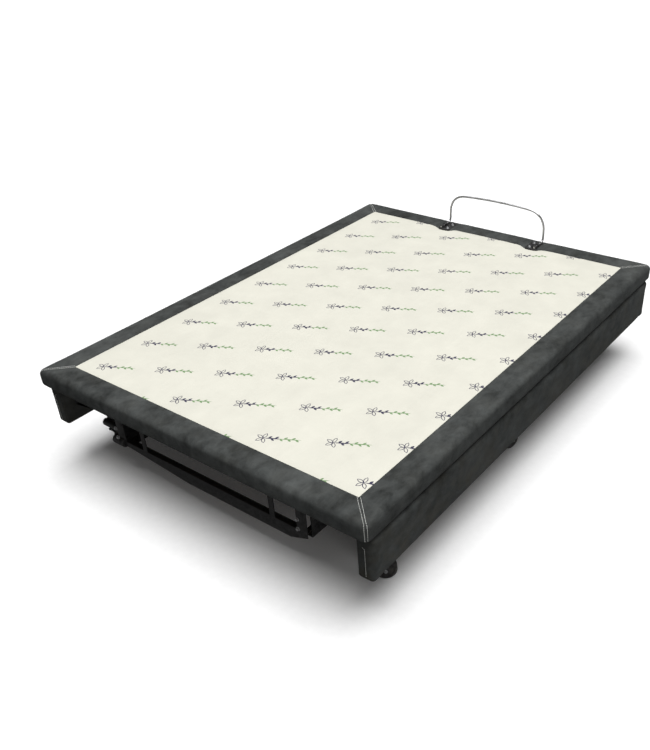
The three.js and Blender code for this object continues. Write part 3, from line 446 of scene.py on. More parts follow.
def deck_cover():
    cover = cover_block()
    points = points_of(cover)
    x, y, z = points.T
    marks = seam_marks(points)
    outward = np.zeros_like(points)
    outward[:, 2] = np.where(z > deck_high.z - TOP_ROUND, 1, 0)
    at_side = (np.abs(x) > deck_high.x - TOP_ROUND) & (np.abs(y) > deck_high.y - 3 * TOP_ROUND)
    outward[:, 0] = np.where(at_side, 0.7 * np.sign(x), 0)
    outward[:, 1] = np.where(at_side, 0.7 * np.sign(y), 0)
    ceiling = (z > deck_low.z + 0.001) & (z < board_top + 0.001)
    ceiling &= (np.abs(x) < deck_high.x - SKIRT / 2) & (np.abs(y) < deck_high.y - SKIRT / 2)
    face = z > deck_high.z - 1e-4
    set_points(cover, points - outward * (marks * SEAM_DEPTH)[:, None])
    underside = z < deck_low.z + UNDER_ROUND + 1e-4
    on_panel = face & (np.abs(x) < panel_half.x) & (np.abs(y) < panel_half.y)
    travel = np.where(on_panel, PANEL_SWELL, BORDER_SWELL)
    swell(cover, ceiling | underside | (marks > 0.9), travel)
    points = points_of(cover)
    x, y, z = points.T
    # Wear, the hollows over the hinges and the pull of the retainer plates.
    along = 1 - (y / deck_high.y) ** 2
    across = 1 - (x / deck_high.x) ** 2
    points[:, 2] -= np.where(face, DECK_SAG * along * (0.4 + 0.6 * across), 0)
    inner = ceiling & (z > board_top)
    for hinge in (head_hinge, thigh_hinge, knee_hinge):
        near = np.clip(1.25 - np.abs(y - hinge.y) / (BEND_REACH * 1.2), 0, 1)
        points[:, 2] += np.where(inner, HINGE_RELIEF * near, 0)
    near_edge = bell(y - panel_half.y, PLATE_PULL_DEPTH) * (z > board_top + 0.02)
    points[:, 1] += (seam_line(x) - panel_half.y) * near_edge
    points[:, 2] -= plate_dent(x, y) * face
    set_points(cover, points)
    finished(cover, "SUBSURF", levels=1, render_levels=1, uv_smooth="NONE")
    return cover


def plate_dent(x, y):
    """How far the retainer plates and the wire in front of them press the foam down."""
    low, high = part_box("left_retainer_plate")
    half_x = (high.x - low.x) / 2
    off_x = np.clip((np.abs(np.abs(x) - PLATE_X) - half_x) / PLATE_SLOPE, 0, 1)
    off_y = np.clip((low.y - y) / PLATE_SLOPE, 0, 1)
    return PLATE_PRESS * (1 - off_x) * (1 - off_y)


def lift_panel(cover):
    """The printed panel: the face inside the seam, lifted off, thickened and laid back in a bed."""
    panel = copied(cover, "deck_panel", Matrix.Translation((0, 0, 0.0005)))

    def within(centre, normal):
        return (
            normal.z > 0.6
            and centre.z > board_top + 0.02
            and abs(centre.x) < panel_half.x
            and -panel_half.y < centre.y < panel_half.y
            and centre.y < seam_line(centre.x)
        )

    with shaping(panel):
        choose_faces(panel, lambda centre, normal: not within(centre, normal))
        bpy.ops.mesh.delete(type="FACE")
    finished(panel, "SOLIDIFY", thickness=PANEL_THICKNESS, offset=-1, use_even_offset=False)
    points = points_of(cover)
    x, y, z = points.T
    bed = (z > board_top + 0.02) & (np.abs(x) < panel_half.x - 0.001) & (y > 0.001 - panel_half.y)
    bed &= y < seam_line(x) - 0.001
    points[:, 2] -= np.where(bed, PANEL_BED, 0)
    set_points(cover, points)
    return panel


def seam_line(x):
    """The panel's edge at the foot end, drawn in at the retainer plates."""
    pull = bell(np.abs(x) - PLATE_X, PLATE_PULL_WIDTH) - 0.4 * bell(x, PLATE_BULGE_WIDTH)
    return panel_half.y - SCALLOP * pull


def cut_between(piece, name, start, end):
    """The length of a piece between two places along the bed, with closed ends."""
    length = copied(piece, name)
    with shaping(length):
        for value, direction in ((start, -1), (end, 1)):
            if value is None:
                continue
            choose_all()
            bpy.ops.mesh.bisect(
                plane_co=(0, value, 0), plane_no=(0, direction, 0), use_fill=True, clear_outer=True
            )
    smooth(length, 40)
    keep_rest_place(length)
    return length


SECTIONS = {
    "head": (None, seat_middle, "head_section", "base", head_hinge, ("head_pad",)),
    "seat": (seat_middle, thigh_middle, "base", "thigh_section", thigh_hinge, ("seat_pad", "thigh_pad")),
    "foot": (thigh_middle, None, "thigh_section", "foot_section", knee_hinge, ("foot_pad",)),
}


def dress_deck():
    cover = deck_cover()
    panel = lift_panel(cover)
    pieces = {}
    for name, (start, end, before, after, hinge, pads) in SECTIONS.items():
        part = cut_between(cover, f"{name}_cover", start, end)
        top = cut_between(panel, f"{name}_panel", start, end)
        for piece in (part, top):
            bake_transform(piece)
        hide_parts(*pads)
        dress(part, suede)
        dress(top, printed_panel)
        pieces[name] = part
    discard(cover)
    discard(panel)
    return pieces


# ---- rails
def rail_cover(node, inner, name):
    """A padded rail: a block with soft outer edges and a pocket for its board."""
    low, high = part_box(node)
    middle = (low + high) / 2
    axis = 0 if abs(inner.x) > 0.5 else 1
    piece = block(name, low, high)

    def inside(point):
        return (point - middle).dot(inner) > (high - low)[axis] / 2 - 1e-4

    with shaping(piece):
        choose_edges(piece, lambda a, b: not (inside(a) and inside(b)))
        bevel_chosen(RAIL_ROUND, 4)
        choose_edges(piece, lambda a, b: inside(a) and inside(b))
        bevel_chosen(RAIL_BACK_ROUND, 2)
        choose_faces(piece, lambda centre, normal: normal.dot(inner) > 0.99)
        inset(RAIL_HEM)
        push(*(-inner * (RAIL_BOARD + 2 * POCKET_GAP)))
        slice_evenly("z", low.z, high.z, RAIL_GRID)
        slice_evenly("xy"[1 - axis], low[1 - axis], high[1 - axis], RAIL_GRID_ALONG)
        slice_evenly("xy"[axis], low[axis], high[axis], RAIL_GRID)
    points = points_of(piece)
    depth = (points - np.array(middle)) @ np.array(inner)
    held = depth > (high - low)[axis] / 2 - RAIL_BOARD - 0.002
    swell(piece, held, np.full(len(points), RAIL_SWELL))
    finished(piece, "SUBSURF", levels=1, render_levels=1, uv_smooth="NONE")
    smooth(piece, 50)
    keep_rest_place(piece)
    fitted(piece, "base", suede, "upholstery", node)
    return piece


def dress_rails():
    rails = {}
    for name, side in SIDES.items():
        rails[name] = rail_cover(f"{name}_rail_cover", Vector((-side, 0, 0)), f"{name}_rail_upholstery")
    rails["foot"] = rail_cover("foot_rail_cover", Vector((0, -1, 0)), "foot_rail_upholstery")
    return rails


# ---- topstitching
def stitch():
    """One stitch, lying along X with round ends."""
    piece = round_bar("stitch", THREAD_RADIUS, STITCH_LENGTH, (0, 0, 0), "x", 6)
    return smooth(ease_edges(piece, THREAD_RADIUS * 0.6, 1, 60), 80)


def stitch_row(master, surface, path):
    """Stitches along a path, each laid on the nearest point of a surface."""
    made = []
    travelled = 0.0
    for start, end in zip(path, path[1:]):
        length = (end - start).length
        while travelled < length:
            on_path = start.lerp(end, travelled / length)
            place, normal, _, _ = surface.find_nearest(on_path)
            along = (end - start).normalized()
            along = (along - normal * along.dot(normal)).normalized()
            turn = Matrix((along, normal.cross(along), normal)).transposed().to_4x4()
            lifted = place + normal * THREAD_RADIUS * 0.3
            made.append(copied(master, "stitch", Matrix.Translation(lifted) @ turn))
            travelled += STITCH_PITCH
        travelled -= length
    return made


def surface_of(piece):
    shape = bmesh.new()
    shape.from_mesh(piece.data)
    tree = BVHTree.FromBMesh(shape)
    shape.free()
    return tree


def corner_stitching(covers):
    """Two rows along each mitre: from the panel's corner, over the edge and down the skirt."""
    master = stitch()
    for end, body, y in (("head", "head_section", -1), ("foot", "foot_section", 1)):
        surface = surface_of(covers[end])
        rows = []
        for x in (-1, 1):
            corner, run, across = mitre(x, y)
            inner = corner + Vector((0, 0, deck_high.z)) + run * 0.004
            inset_corner = (1 - math.sqrt(0.5)) * CORNER_ROUND
            outer_x = deck_high.x - inset_corner - TOP_ROUND / 3
            outer_y = deck_high.y - inset_corner - TOP_ROUND / 3
            edge = Vector((x * outer_x, y * outer_y, deck_high.z - TOP_ROUND / 4))
            down = Vector((x * (outer_x + 0.006), y * (outer_y + 0.006), deck_high.z - TOP_ROUND))
            foot = Vector((down.x, down.y, deck_low.z + UNDER_ROUND))
            for side in (-1, 1):
                beside = across * side * STITCH_ROW_GAP
                path = [place + beside for place in (inner, edge, down, foot)]
                rows += stitch_row(master, surface, path)
        fitted(joined(f"{end}_corner_topstitching", rows), body, thread_finish, "thread")
    discard(master)


def rail_stitching(rails):
    """One row down each end of the two side rails, hooked over at the top."""
    master = stitch()
    for name, side in SIDES.items():
        low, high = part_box(f"{name}_rail_cover")
        surface = surface_of(rails[name])
        rows = []
        for y in (low.y, high.y):
            x = side * (abs(low.x + high.x) / 2 + 0.001)
            top = Vector((x, y, high.z - 0.042))
            hook = Vector((x - side * 0.007, y, top.z + 0.004))
            rows += stitch_row(master, surface, [hook, top, Vector((x, y, low.z + 0.016))])
        fitted(joined(f"{name}_rail_topstitching", rows), "base", thread_finish, "thread")
    discard(master)


# ---- metalwork
def fitted(piece, body, finish, slot, *nodes):
    """Puts a finished piece on its body, in place of the CAD parts that it stands for."""
    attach(piece, body)
    if nodes:
        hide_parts(*nodes)
    dress(piece, finish)


def softened(node, name, width, finish, slot):
    """A CAD part with its edges eased, as sheet steel, tube and mouldings have them."""
    source = frame["nodes"][node]
    piece = copied(source, name)
    piece.data.materials.clear()
    with shaping(piece):
        choose_all()
        bpy.ops.mesh.remove_doubles(threshold=1e-5)
        bpy.ops.mesh.dissolve_limited(angle_limit=math.radians(1))
    ease_edges(piece, width)
    smooth(piece, 32)
    fitted(piece, source["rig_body"], finish, slot, node)


def bolt_head(size):
    """A hexagon head on a washer, standing on the origin and facing +Z."""
    washer = round_bar("washer", size * 1.05, size * 0.18, (0, 0, size * 0.09), "z", 28)
    ease_edges(washer, size * 0.05, 1)
    head = round_bar("head", size * 0.78, size * 0.62, (0, 0, size * 0.49), "z", 6)
    with shaping(head):
        choose_faces(head, lambda centre, normal: normal.z > 0.9)
        inset(size * 0.12, size * 0.07)
        inset(size * 0.3, -size * 0.02)
    ease_edges(head, size * 0.035, 2, 25)
    return smooth(joined("bolt", [washer, head]), 30)


def facing(direction):
    """Turns +Z to a direction."""
    return Vector((0, 0, 1)).rotation_difference(Vector(direction)).to_matrix().to_4x4()


def fasteners(name, master, places, direction, body="base"):
    """Copies of one fastener at each place, as one piece."""
    turn = facing(direction)
    pieces = [copied(master, name, Matrix.Translation(place) @ turn) for place in places]
    fitted(joined(name, pieces), body, zinc_plate, "zinc")


def rail_bolts(master):
    """Bolts through the cross beams' upright plates into the rail boards."""
    for place in PLACES:
        low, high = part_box(f"{place}_cross_beam")
        rows = (high.z - 0.03, high.z - 0.065)
        middle = joints[f"{place}_left_castor_swivel"]["pos_m"][1]
        near = low.y + 0.024 if place == "head" else middle - 0.028
        for name, side in SIDES.items():
            x = side * (high.x - 0.004)
            places = [Vector((x, y, z)) for y in (near, middle + 0.028) for z in rows]
            fasteners(f"{place}_{name}_rail_bolts", master, places, (-side, 0, 0))


def retainer_bolts(master):
    for name, side in SIDES.items():
        low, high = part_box(f"{name}_retainer_plate")
        wire_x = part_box("retainer_bar")[1].x - WIRE_RADIUS
        x = side * (wire_x - 0.029)
        top = low.z + 0.003
        places = [Vector((x, low.y + share * (high.y - low.y), top)) for share in (0.22, 0.78)]
        fasteners(f"{name}_retainer_bolts", master, places, (0, 0, 1), "foot_section")


def end_frame_bolts(master):
    """Bolts through the end posts into the chassis channels."""
    for end, direction in (("head", -1), ("foot", 1)):
        low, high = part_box(f"{end}_end_frame")
        face = low.y if direction < 0 else high.y
        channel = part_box("right_chassis_channel")
        x = (channel[0].x + channel[1].x) / 2
        z = [channel[0].z + 0.055, channel[0].z + 0.095]
        places = [Vector((side * x, face, height)) for side in (-1, 1) for height in z]
        fasteners(f"{end}_end_frame_bolts", master, places, (0, direction, 0))


def spigot_bolts(master):
    low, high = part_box("side_spigot")
    middle = (low + high) / 2
    reach = (high.z - low.z) / 2 - 0.008
    places = [
        Vector((high.x - 0.004, middle.y + y * reach, middle.z + z * reach))
        for y in (-1, 1)
        for z in (-1, 1)
    ]
    fasteners("spigot_bolts", master, places, (-1, 0, 0))


def lift_arm_bolts(master):
    """Bolts through the lift arm's foot plates into the head board, and through the foot brackets."""
    low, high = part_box("head_lift_arm")
    plate_z = high.z - 0.003
    places = [
        Vector((side * (high.x - 0.03), low.y + along, plate_z))
        for side in (-1, 1)
        for along in (0.025, 0.075, 0.125)
    ]
    fasteners("head_arm_bolts", master, places, (0, 0, -1), "head_section")
    for name, side in SIDES.items():
        low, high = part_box(f"{name}_foot_bracket")
        x = (low.x + high.x) / 2 - side * 0.006
        places = [Vector((x, high.y - along, high.z - 0.003)) for along in (0.015, 0.045)]
        fasteners(f"{name}_foot_bracket_bolts", master, places, (0, 0, -1), "foot_section")


def round_heads(name, size, place, half, body):
    """A round head each side of a pin that lies along X."""
    radius, thickness, edge = size
    out = Vector((half + thickness / 2, 0, 0))
    heads = [round_bar("pin_head", radius, thickness, place + side * out, "x", 24) for side in (-1, 1)]
    fitted(smooth(ease_edges(joined(name, heads), edge), 40), body, zinc_plate, "zinc")


def pivot_pins():
    """Round heads on the actuators' fixed pivots and on the levers' eye pins."""
    for name in ("head", "leg"):
        rod_low, rod_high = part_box(f"{name}_actuator_rod")
        body_low, body_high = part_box(f"{name}_actuator")
        middle = (rod_low + rod_high) / 2
        half = (rod_high.x - rod_low.x) / 2
        forward = name == "leg"
        fixed_y = body_low.y + EYE_INSET if forward else body_high.y - EYE_INSET
        eye_y = rod_high.y - EYE_INSET if forward else rod_low.y + EYE_INSET
        pivot = Vector((middle.x, fixed_y, middle.z))
        eye = Vector((middle.x, eye_y, middle.z))
        round_heads(f"{name}_pivot_pin_heads", PIN_HEAD, pivot, half, "base")
        round_heads(f"{name}_eye_pin_washers", PIN_WASHER, eye, half, f"{name}_rod")


# ---- retainer bar
def curve_through(start, corner, end, steps=10):
    shares = [i / steps for i in range(1, steps + 1)]
    return [start * (1 - t) ** 2 + corner * 2 * t * (1 - t) + end * t**2 for t in shares]


def retainer_wire():
    """The wire: along the plates, up at the edge of the deck and over in a flat arch."""
    low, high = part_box("retainer_bar")
    half = high.x - WIRE_RADIUS
    upright = high.y - WIRE_RADIUS
    foot = low.z + WIRE_RADIUS
    top = high.z - WIRE_RADIUS
    arch, corner, foot_bend = 0.012, 0.085, 0.024

    def leg(side):
        x = side * half
        shoulder = top - arch
        line = [Vector((x, low.y + 0.001, foot)), Vector((x, upright - foot_bend, foot))]
        line += curve_through(
            line[-1], Vector((x, upright, foot)), Vector((x, upright, foot + foot_bend))
        )
        line.append(Vector((x, upright, shoulder - corner)))
        over_arch = Vector((x - side * corner, upright, shoulder + arch / 2))
        return line + curve_through(line[-1], Vector((x, upright, shoulder)), over_arch)

    left, right = leg(-1), leg(1)
    over = curve_through(left[-1], Vector((0, upright, top + arch / 2)), right[-1], 24)
    route = left + over + right[-2::-1]
    curve = bpy.data.curves.new("retainer_wire", "CURVE")
    curve.dimensions = "3D"
    curve.bevel_depth = WIRE_RADIUS
    curve.bevel_resolution = 5
    curve.use_fill_caps = True
    spline = curve.splines.new("POLY")
    spline.points.add(len(route) - 1)
    for point, place in zip(spline.points, route):
        point.co = (*place, 1)
    take_up(placed("retainer_wire", curve))
    bpy.ops.object.convert(target="MESH")
    wire = smooth(bpy.context.object, 45)
    fitted(wire, "foot_section", satin_wire, "retainer_wire", "retainer_bar")


# ---- castors
def wheel_master():
    """A moulded castor wheel, rolling about X at the origin."""
    wheel = round_bar("castor_wheel", WHEEL_RADIUS, WHEEL_WIDTH, (0, 0, 0), "x", 56)
    with shaping(wheel):
        choose_edges(wheel, lambda a, b: abs(a.x - b.x) < 1e-6)
        bevel_chosen(WHEEL_EDGE, 4)
        for side in (-1, 1):
            choose_faces(wheel, lambda centre, normal: normal.x * side > 0.99)
            for ring, step in WHEEL_RINGS:
                inset(ring, step)
        choose_all()
        for groove in (-WHEEL_GROOVE, WHEEL_GROOVE):
            for beside in (-0.0008, 0.0008):
                slice_at("x", groove + beside)
        choose_faces(
            wheel,
            lambda centre, normal: abs(normal.x) < 0.1
            and math.hypot(centre.y, centre.z) > WHEEL_RADIUS * 0.95
            and abs(abs(centre.x) - WHEEL_GROOVE) < 0.0006,
        )
        inset(0.0001, -0.0012)
    return smooth(wheel, 32)


def castor(place, name, wheel, bolt):
    label = f"{place}_{name}"
    swivel = joints[f"{label}_castor_swivel"]
    spin = joints[f"{label}_wheel_spin"]
    centre = Vector(spin["pos_m"])
    axle = Vector(spin["axis"]).normalized()
    turn = Vector((1, 0, 0)).rotation_difference(axle).to_matrix().to_4x4()
    rolling = copied(wheel, f"{label}_wheel", Matrix.Translation(centre) @ turn)
    fitted(rolling, f"{label}_wheel", moulded_tread, "wheel_tread", f"{label}_castor_wheel")
    softened(f"{label}_castor_fork", f"{label}_fork", STEEL_EDGE, black_powder_coat, "black_steel")
    ends = []
    for outward in (-axle, axle):
        reach = Matrix.Translation(centre + outward * AXLE_REACH)
        ends.append(copied(bolt, "axle_end", reach @ facing(outward)))
    stem = Vector(swivel["pos_m"])
    race = round_bar("race", RACE_RADIUS, RACE_HEIGHT, stem - Vector((0, 0, RACE_DROP)))
    ends.append(ease_edges(race, RACE_EDGE))
    hardware = smooth(joined(f"{label}_castor_hardware", ends), 32)
    fitted(hardware, f"{label}_castor", zinc_plate, "zinc")


def castors():
    wheel = wheel_master()
    bolt = bolt_head(AXLE_BOLT_SIZE)
    for place in PLACES:
        for name in SIDES:
            castor(place, name, wheel, bolt)
    discard(wheel)
    discard(bolt)


# ---- materials
def put(tree, kind, feeds=None, **settings):
    """Adds a shader node, sets it up and feeds its inputs."""
    made = tree.nodes.new("ShaderNode" + kind)
    for name, value in settings.items():
        setattr(made, name, value)
    for socket, source in (feeds or {}).items():
        if isinstance(source, bpy.types.NodeSocket):
            tree.links.new(source, made.inputs[socket])
        else:
            made.inputs[socket].default_value = source
    return made


def noise(tree, place, scale, detail=3.0, roughness=0.6, warp=0.0):
    feeds = {"Vector": place, "Scale": scale, "Detail": detail, "Roughness": roughness, "Distortion": warp}
    return put(tree, "TexNoise", feeds).outputs["Fac"]


def maths(tree, how, first, second=0.0):
    return put(tree, "Math", {0: first, 1: second}, operation=how).outputs[0]


def plus(tree, first, second):
    return maths(tree, "ADD", first, second)


def minus(tree, first, second):
    return maths(tree, "SUBTRACT", first, second)


def times(tree, first, second):
    return maths(tree, "MULTIPLY", first, second)


def ranged(tree, value, low, high, to_low=0.0, to_high=1.0):
    feeds = {"Value": value, "From Min": low, "From Max": high, "To Min": to_low, "To Max": to_high}
    return put(tree, "MapRange", feeds, clamp=True).outputs["Result"]


def mixed(tree, share, first, second):
    return put(tree, "Mix", {0: share, 6: first, 7: second}, data_type="RGBA").outputs[2]


def turned(tree, place, angle):
    """A place turned back about +Z by an angle."""
    feeds = {"Vector": place, "Angle": angle}
    return put(tree, "VectorRotate", feeds, rotation_type="Z_AXIS", invert=True).outputs[0]


def split(tree, place):
    return put(tree, "SeparateXYZ", {0: place}).outputs


def stretched(tree, place, scale, turn=(0, 0, 0)):
    return put(tree, "Mapping", {"Vector": place, "Scale": scale, "Rotation": turn}).outputs[0]


SOCKET_KINDS = dict.fromkeys(("Place", "Along", "Root"), "Vector")
SOCKET_KINDS.update(dict.fromkeys(("Colour", "Light", "Dark", "Dust", "Worn"), "Color"))


def effect(name, build, inputs, outputs):
    """A shader node group. Build returns a socket for each output."""
    tree = bpy.data.node_groups.new(name, "ShaderNodeTree")
    for way, labels in (("INPUT", "Place " + inputs), ("OUTPUT", outputs)):
        for label in labels.split():
            kind = "NodeSocket" + SOCKET_KINDS.get(label, "Float")
            tree.interface.new_socket(name=label, in_out=way, socket_type=kind)
    entry = tree.nodes.new("NodeGroupInput")
    leave = tree.nodes.new("NodeGroupOutput")
    for label, socket in build(tree, entry.outputs).items():
        tree.links.new(socket, leave.inputs[label])
    return tree


def use(tree, group, place, **feeds):
    return put(tree, "Group", {"Place": place, **feeds}, node_tree=group).outputs


def build_nap(tree, given):
    """Suede-like nap: broad shading, brushed patches and a fine pile."""
    place = given["Place"]
    broad = noise(tree, place, 4.0, 3, 0.55, 0.2)
    patches = noise(tree, stretched(tree, place, (1, 0.7, 1), (0, 0, 0.5)), 24.0, 6, 0.62, 0.25)
    brushed = noise(tree, stretched(tree, place, (1.4, 0.6, 1), (0, 0, -0.35)), 85.0, 4, 0.65)
    pile = noise(tree, place, 950.0, 2, 0.7)
    both = plus(tree, times(tree, broad, 0.45), times(tree, patches, 0.55))
    shade = ranged(tree, both, 0.33, 0.68)
    shade = plus(tree, shade, times(tree, brushed, 0.25))
    shade = plus(tree, shade, ranged(tree, pile, 0.3, 0.7, -0.16, 0.04))
    colour = mixed(tree, ranged(tree, shade, 0.0, 1.15), given["Dark"], given["Light"])
    height = plus(tree, times(tree, patches, 0.6), times(tree, pile, 0.4))
    return {
        "Colour": colour,
        "Height": height,
        "Roughness": ranged(tree, both, 0.3, 0.7, 0.98, 0.8),
    }


def build_dust(tree, given):
    """Fine settled dust and lint, more of it where Amount says."""
    cloud = noise(tree, given["Place"], 14.0, 6, 0.7)
    specks = noise(tree, given["Place"], 420.0, 2, 0.6)
    lint = ranged(tree, specks, 0.66, 0.74)
    settled = plus(tree, ranged(tree, cloud, 0.42, 0.72), times(tree, lint, 0.5))
    share = times(tree, settled, given["Amount"])
    return {"Colour": mixed(tree, share, given["Colour"], given["Dust"]), "Share": share}


def build_wear(tree, given):
    """Edges rubbed through to a paler finish, broken up by a little noise."""
    geometry = put(tree, "NewGeometry")
    edge = ranged(tree, geometry.outputs["Pointiness"], 0.505, 0.56)
    broken = ranged(tree, noise(tree, given["Place"], 90.0, 5, 0.7), 0.42, 0.62)
    rub = ranged(tree, noise(tree, given["Place"], 24.0, 4, 0.75), 0.6, 0.72)
    rubbed = plus(tree, times(tree, edge, broken), times(tree, rub, 0.12))
    share = times(tree, rubbed, given["Amount"])
    return {"Colour": mixed(tree, share, given["Colour"], given["Worn"]), "Share": share}


def build_grain(tree, given):
    """Fine pebbled texture of a powder coat or a moulding."""
    pebbles = noise(tree, given["Place"], given["Size"], 3, 0.6)
    broad = noise(tree, given["Place"], 11.0, 3, 0.6)
    return {"Height": pebbles, "Tone": ranged(tree, broad, 0.3, 0.7, 0.8, 1.2)}


def build_streaks(tree, given):
    """Drawn and rolled marks along one direction of a bare metal."""
    long_marks = noise(tree, stretched(tree, given["Place"], given["Along"]), 60.0, 5, 0.75)
    cloudy = noise(tree, given["Place"], 35.0, 4, 0.6)
    return {
        "Height": long_marks,
        "Tone": ranged(tree, plus(tree, long_marks, cloudy), 0.7, 1.3, 0.82, 1.12),
        "Roughness": ranged(tree, cloudy, 0.3, 0.7, 0.26, 0.5),
    }


def build_leaf(tree, given):
    """One pointed leaf in the print, from Root along Turn: 1 on the leaf and 0 off it."""
    moved = put(tree, "VectorMath", {0: given["Place"], 1: given["Root"]}, operation="SUBTRACT")
    axes = split(tree, turned(tree, moved.outputs[0], given["Turn"]))
    along = maths(tree, "DIVIDE", axes["X"], given["Length"])
    swell_out = times(tree, along, minus(tree, 1.0, along))
    edge = times(tree, swell_out, times(tree, given["Width"], 2.0))
    inside = minus(tree, edge, maths(tree, "ABSOLUTE", axes["Y"]))
    full = ranged(tree, inside, -0.0003, 0.0003)
    core = ranged(tree, inside, given["Outline"], plus(tree, given["Outline"], 0.0006))
    return {"Mask": minus(tree, full, core)}


nap = effect("suede nap", build_nap, "Light Dark", "Colour Height Roughness")
dust = effect("settled dust", build_dust, "Colour Dust Amount", "Colour Share")
wear = effect("edge wear", build_wear, "Colour Worn Amount", "Colour Share")
grain = effect("pebbled grain", build_grain, "Size", "Height Tone")
streaks = effect("drawn streaks", build_streaks, "Along", "Height Tone Roughness")
leaf = effect("printed leaf", build_leaf, "Root Turn Length Width Outline", "Mask")


def new_finish(name, **values):
    """A material with constant values on its shader's own sockets, and its tree."""
    material = bpy.data.materials.new(name)
    material.use_nodes = True
    shader = material.node_tree.nodes["Principled BSDF"]
    for socket, value in values.items():
        shader.inputs[socket.replace("_", " ")].default_value = value
    return material, material.node_tree, shader


def wired(shader, **sources):
    """Feeds the shader's sockets."""
    for socket, source in sources.items():
        shader.id_data.links.new(source, shader.inputs[socket.replace("_", " ")])


def rest_place(tree):
    return put(tree, "Attribute", attribute_name="rest_place").outputs["Vector"]


def object_place(tree):
    return put(tree, "TexCoord").outputs["Object"]


def raise_surface(tree, shader, height, distance, strength=1.0):
    bump = put(tree, "Bump", {"Height": height, "Distance": distance, "Strength": strength})
    wired(shader, Normal=bump.outputs[0])


def toned(tree, colour, tone):
    """A colour made lighter or darker over the surface."""
    return put(tree, "VectorMath", {0: colour, "Scale": tone}, operation="SCALE").outputs[0]


def suede_finish(name, place_of):
    material, tree, shader = new_finish(
        name,
        Sheen_Weight=0.12,
        Sheen_Roughness=0.4,
        Sheen_Tint=(0.55, 0.6, 0.6, 1),
        Specular_IOR_Level=0.12,
    )
    place = place_of(tree)
    cloth = use(tree, nap, place, Light=(0.09, 0.096, 0.094, 1), Dark=(0.017, 0.0183, 0.0176, 1))
    low_down = ranged(tree, split(tree, place)["Z"], 0.15, 0.36, 0.85, 0.1)
    dusty = use(tree, dust, place, Colour=cloth["Colour"], Dust=(0.07, 0.06, 0.041, 1), Amount=low_down)
    wired(shader, Base_Color=dusty["Colour"], Roughness=cloth["Roughness"])
    raise_surface(tree, shader, cloth["Height"], 0.0009, 0.8)
    return material


PRINT_TURN = 0.48  # the print runs this far off the width of the deck
PRINT_PITCH = (0.2, 0.208)
PRINT_START = (-0.525, -0.84)


def repeated(tree, value, start, pitch):
    """Which step of a repeat a value is in, and how far from the step's middle it lies."""
    steps = maths(tree, "DIVIDE", minus(tree, value, start), pitch)
    step = maths(tree, "FLOOR", plus(tree, steps, 0.5))
    return step, times(tree, minus(tree, steps, step), pitch)


def print_place(tree, place):
    """Repeats the print in columns, with every second one half a step along."""
    axes = split(tree, place)
    column, across = repeated(tree, axes["X"], PRINT_START[0], PRINT_PITCH[0])
    shifted = minus(tree, axes["Y"], times(tree, column, PRINT_PITCH[1] / 2))
    _, along = repeated(tree, shifted, PRINT_START[1], PRINT_PITCH[1])
    local = put(tree, "CombineXYZ", {"X": across, "Y": along})
    return turned(tree, local.outputs[0], PRINT_TURN)


def sprig(tree, place):
    """Masks of a small leafy sprig: dark leaves at its root and green ones along its stem."""

    def one(root, turn, length, width, outline=1.0):
        feeds = {"Root": (root, 0, 0), "Turn": turn, "Length": length, "Width": width}
        return use(tree, leaf, place, Outline=outline, **feeds)["Mask"]

    def together(masks):
        total = masks[0]
        for mask in masks[1:]:
            total = maths(tree, "MAXIMUM", total, mask)
        return total

    dark = [one(-0.046, math.radians(angle), 0.027, 0.0132, 0.0023) for angle in (72, 144, 216, 288)]
    dark += [one(-0.047, 0.0, 0.064, 0.0058)]
    dark += [one(root, turn, 0.017, 0.0075) for root, turn in ((-0.03, 0.8), (-0.02, -0.8), (-0.008, 0.8))]
    green = [one(0.006, 0.0, 0.074, 0.0048)]
    green += [one(0.008 + 0.013 * i, 0.7 * (-1) ** (i + 1), 0.016, 0.0068) for i in range(5)]
    return together(dark), together(green)


def panel_finish():
    material, tree, shader = new_finish(
        "printed panel", Roughness=0.9, Sheen_Weight=0.12, Specular_IOR_Level=0.2
    )
    place = rest_place(tree)
    fibres = noise(tree, place, 700.0, 4, 0.75)
    felted = noise(tree, stretched(tree, place, (1, 0.4, 1), (0, 0, 0.9)), 160.0, 4, 0.7)
    cloudy = noise(tree, place, 9.0, 4, 0.6)
    creases = noise(tree, stretched(tree, place, (1.0, 0.16, 1), (0, 0, -0.85)), 15.0, 3, 0.55, 0.8)
    tone = ranged(tree, cloudy, 0.3, 0.7, 0.95, 1.03)
    tone = plus(tree, tone, ranged(tree, fibres, 0.3, 0.7, -0.03, 0.03))
    base = toned(tree, (0.66, 0.648, 0.57), tone)
    dark, green = sprig(tree, print_place(tree, place))
    patchy = ranged(tree, fibres, 0.25, 0.5, 0.78, 1.0)
    inked = mixed(tree, times(tree, dark, patchy), base, (0.035, 0.032, 0.07, 1))
    inked = mixed(tree, times(tree, green, patchy), inked, (0.16, 0.27, 0.12, 1))
    wired(shader, Base_Color=inked)
    height = plus(tree, times(tree, creases, 4.0), times(tree, felted, 0.25))
    height = plus(tree, height, times(tree, fibres, 0.12))
    raise_surface(tree, shader, height, 0.0011, 0.7)
    return material


def thread_material():
    material, tree, shader = new_finish("pale thread", Roughness=0.6, Sheen_Weight=0.2)
    place = object_place(tree)
    feeds = {"Vector": place, "Scale": 900.0, "Distortion": 1.0}
    twist = put(tree, "TexWave", feeds, bands_direction="DIAGONAL").outputs["Fac"]
    wired(shader, Base_Color=mixed(tree, twist, (0.55, 0.56, 0.53, 1), (0.8, 0.8, 0.77, 1)))
    raise_surface(tree, shader, twist, 0.0002)
    return material


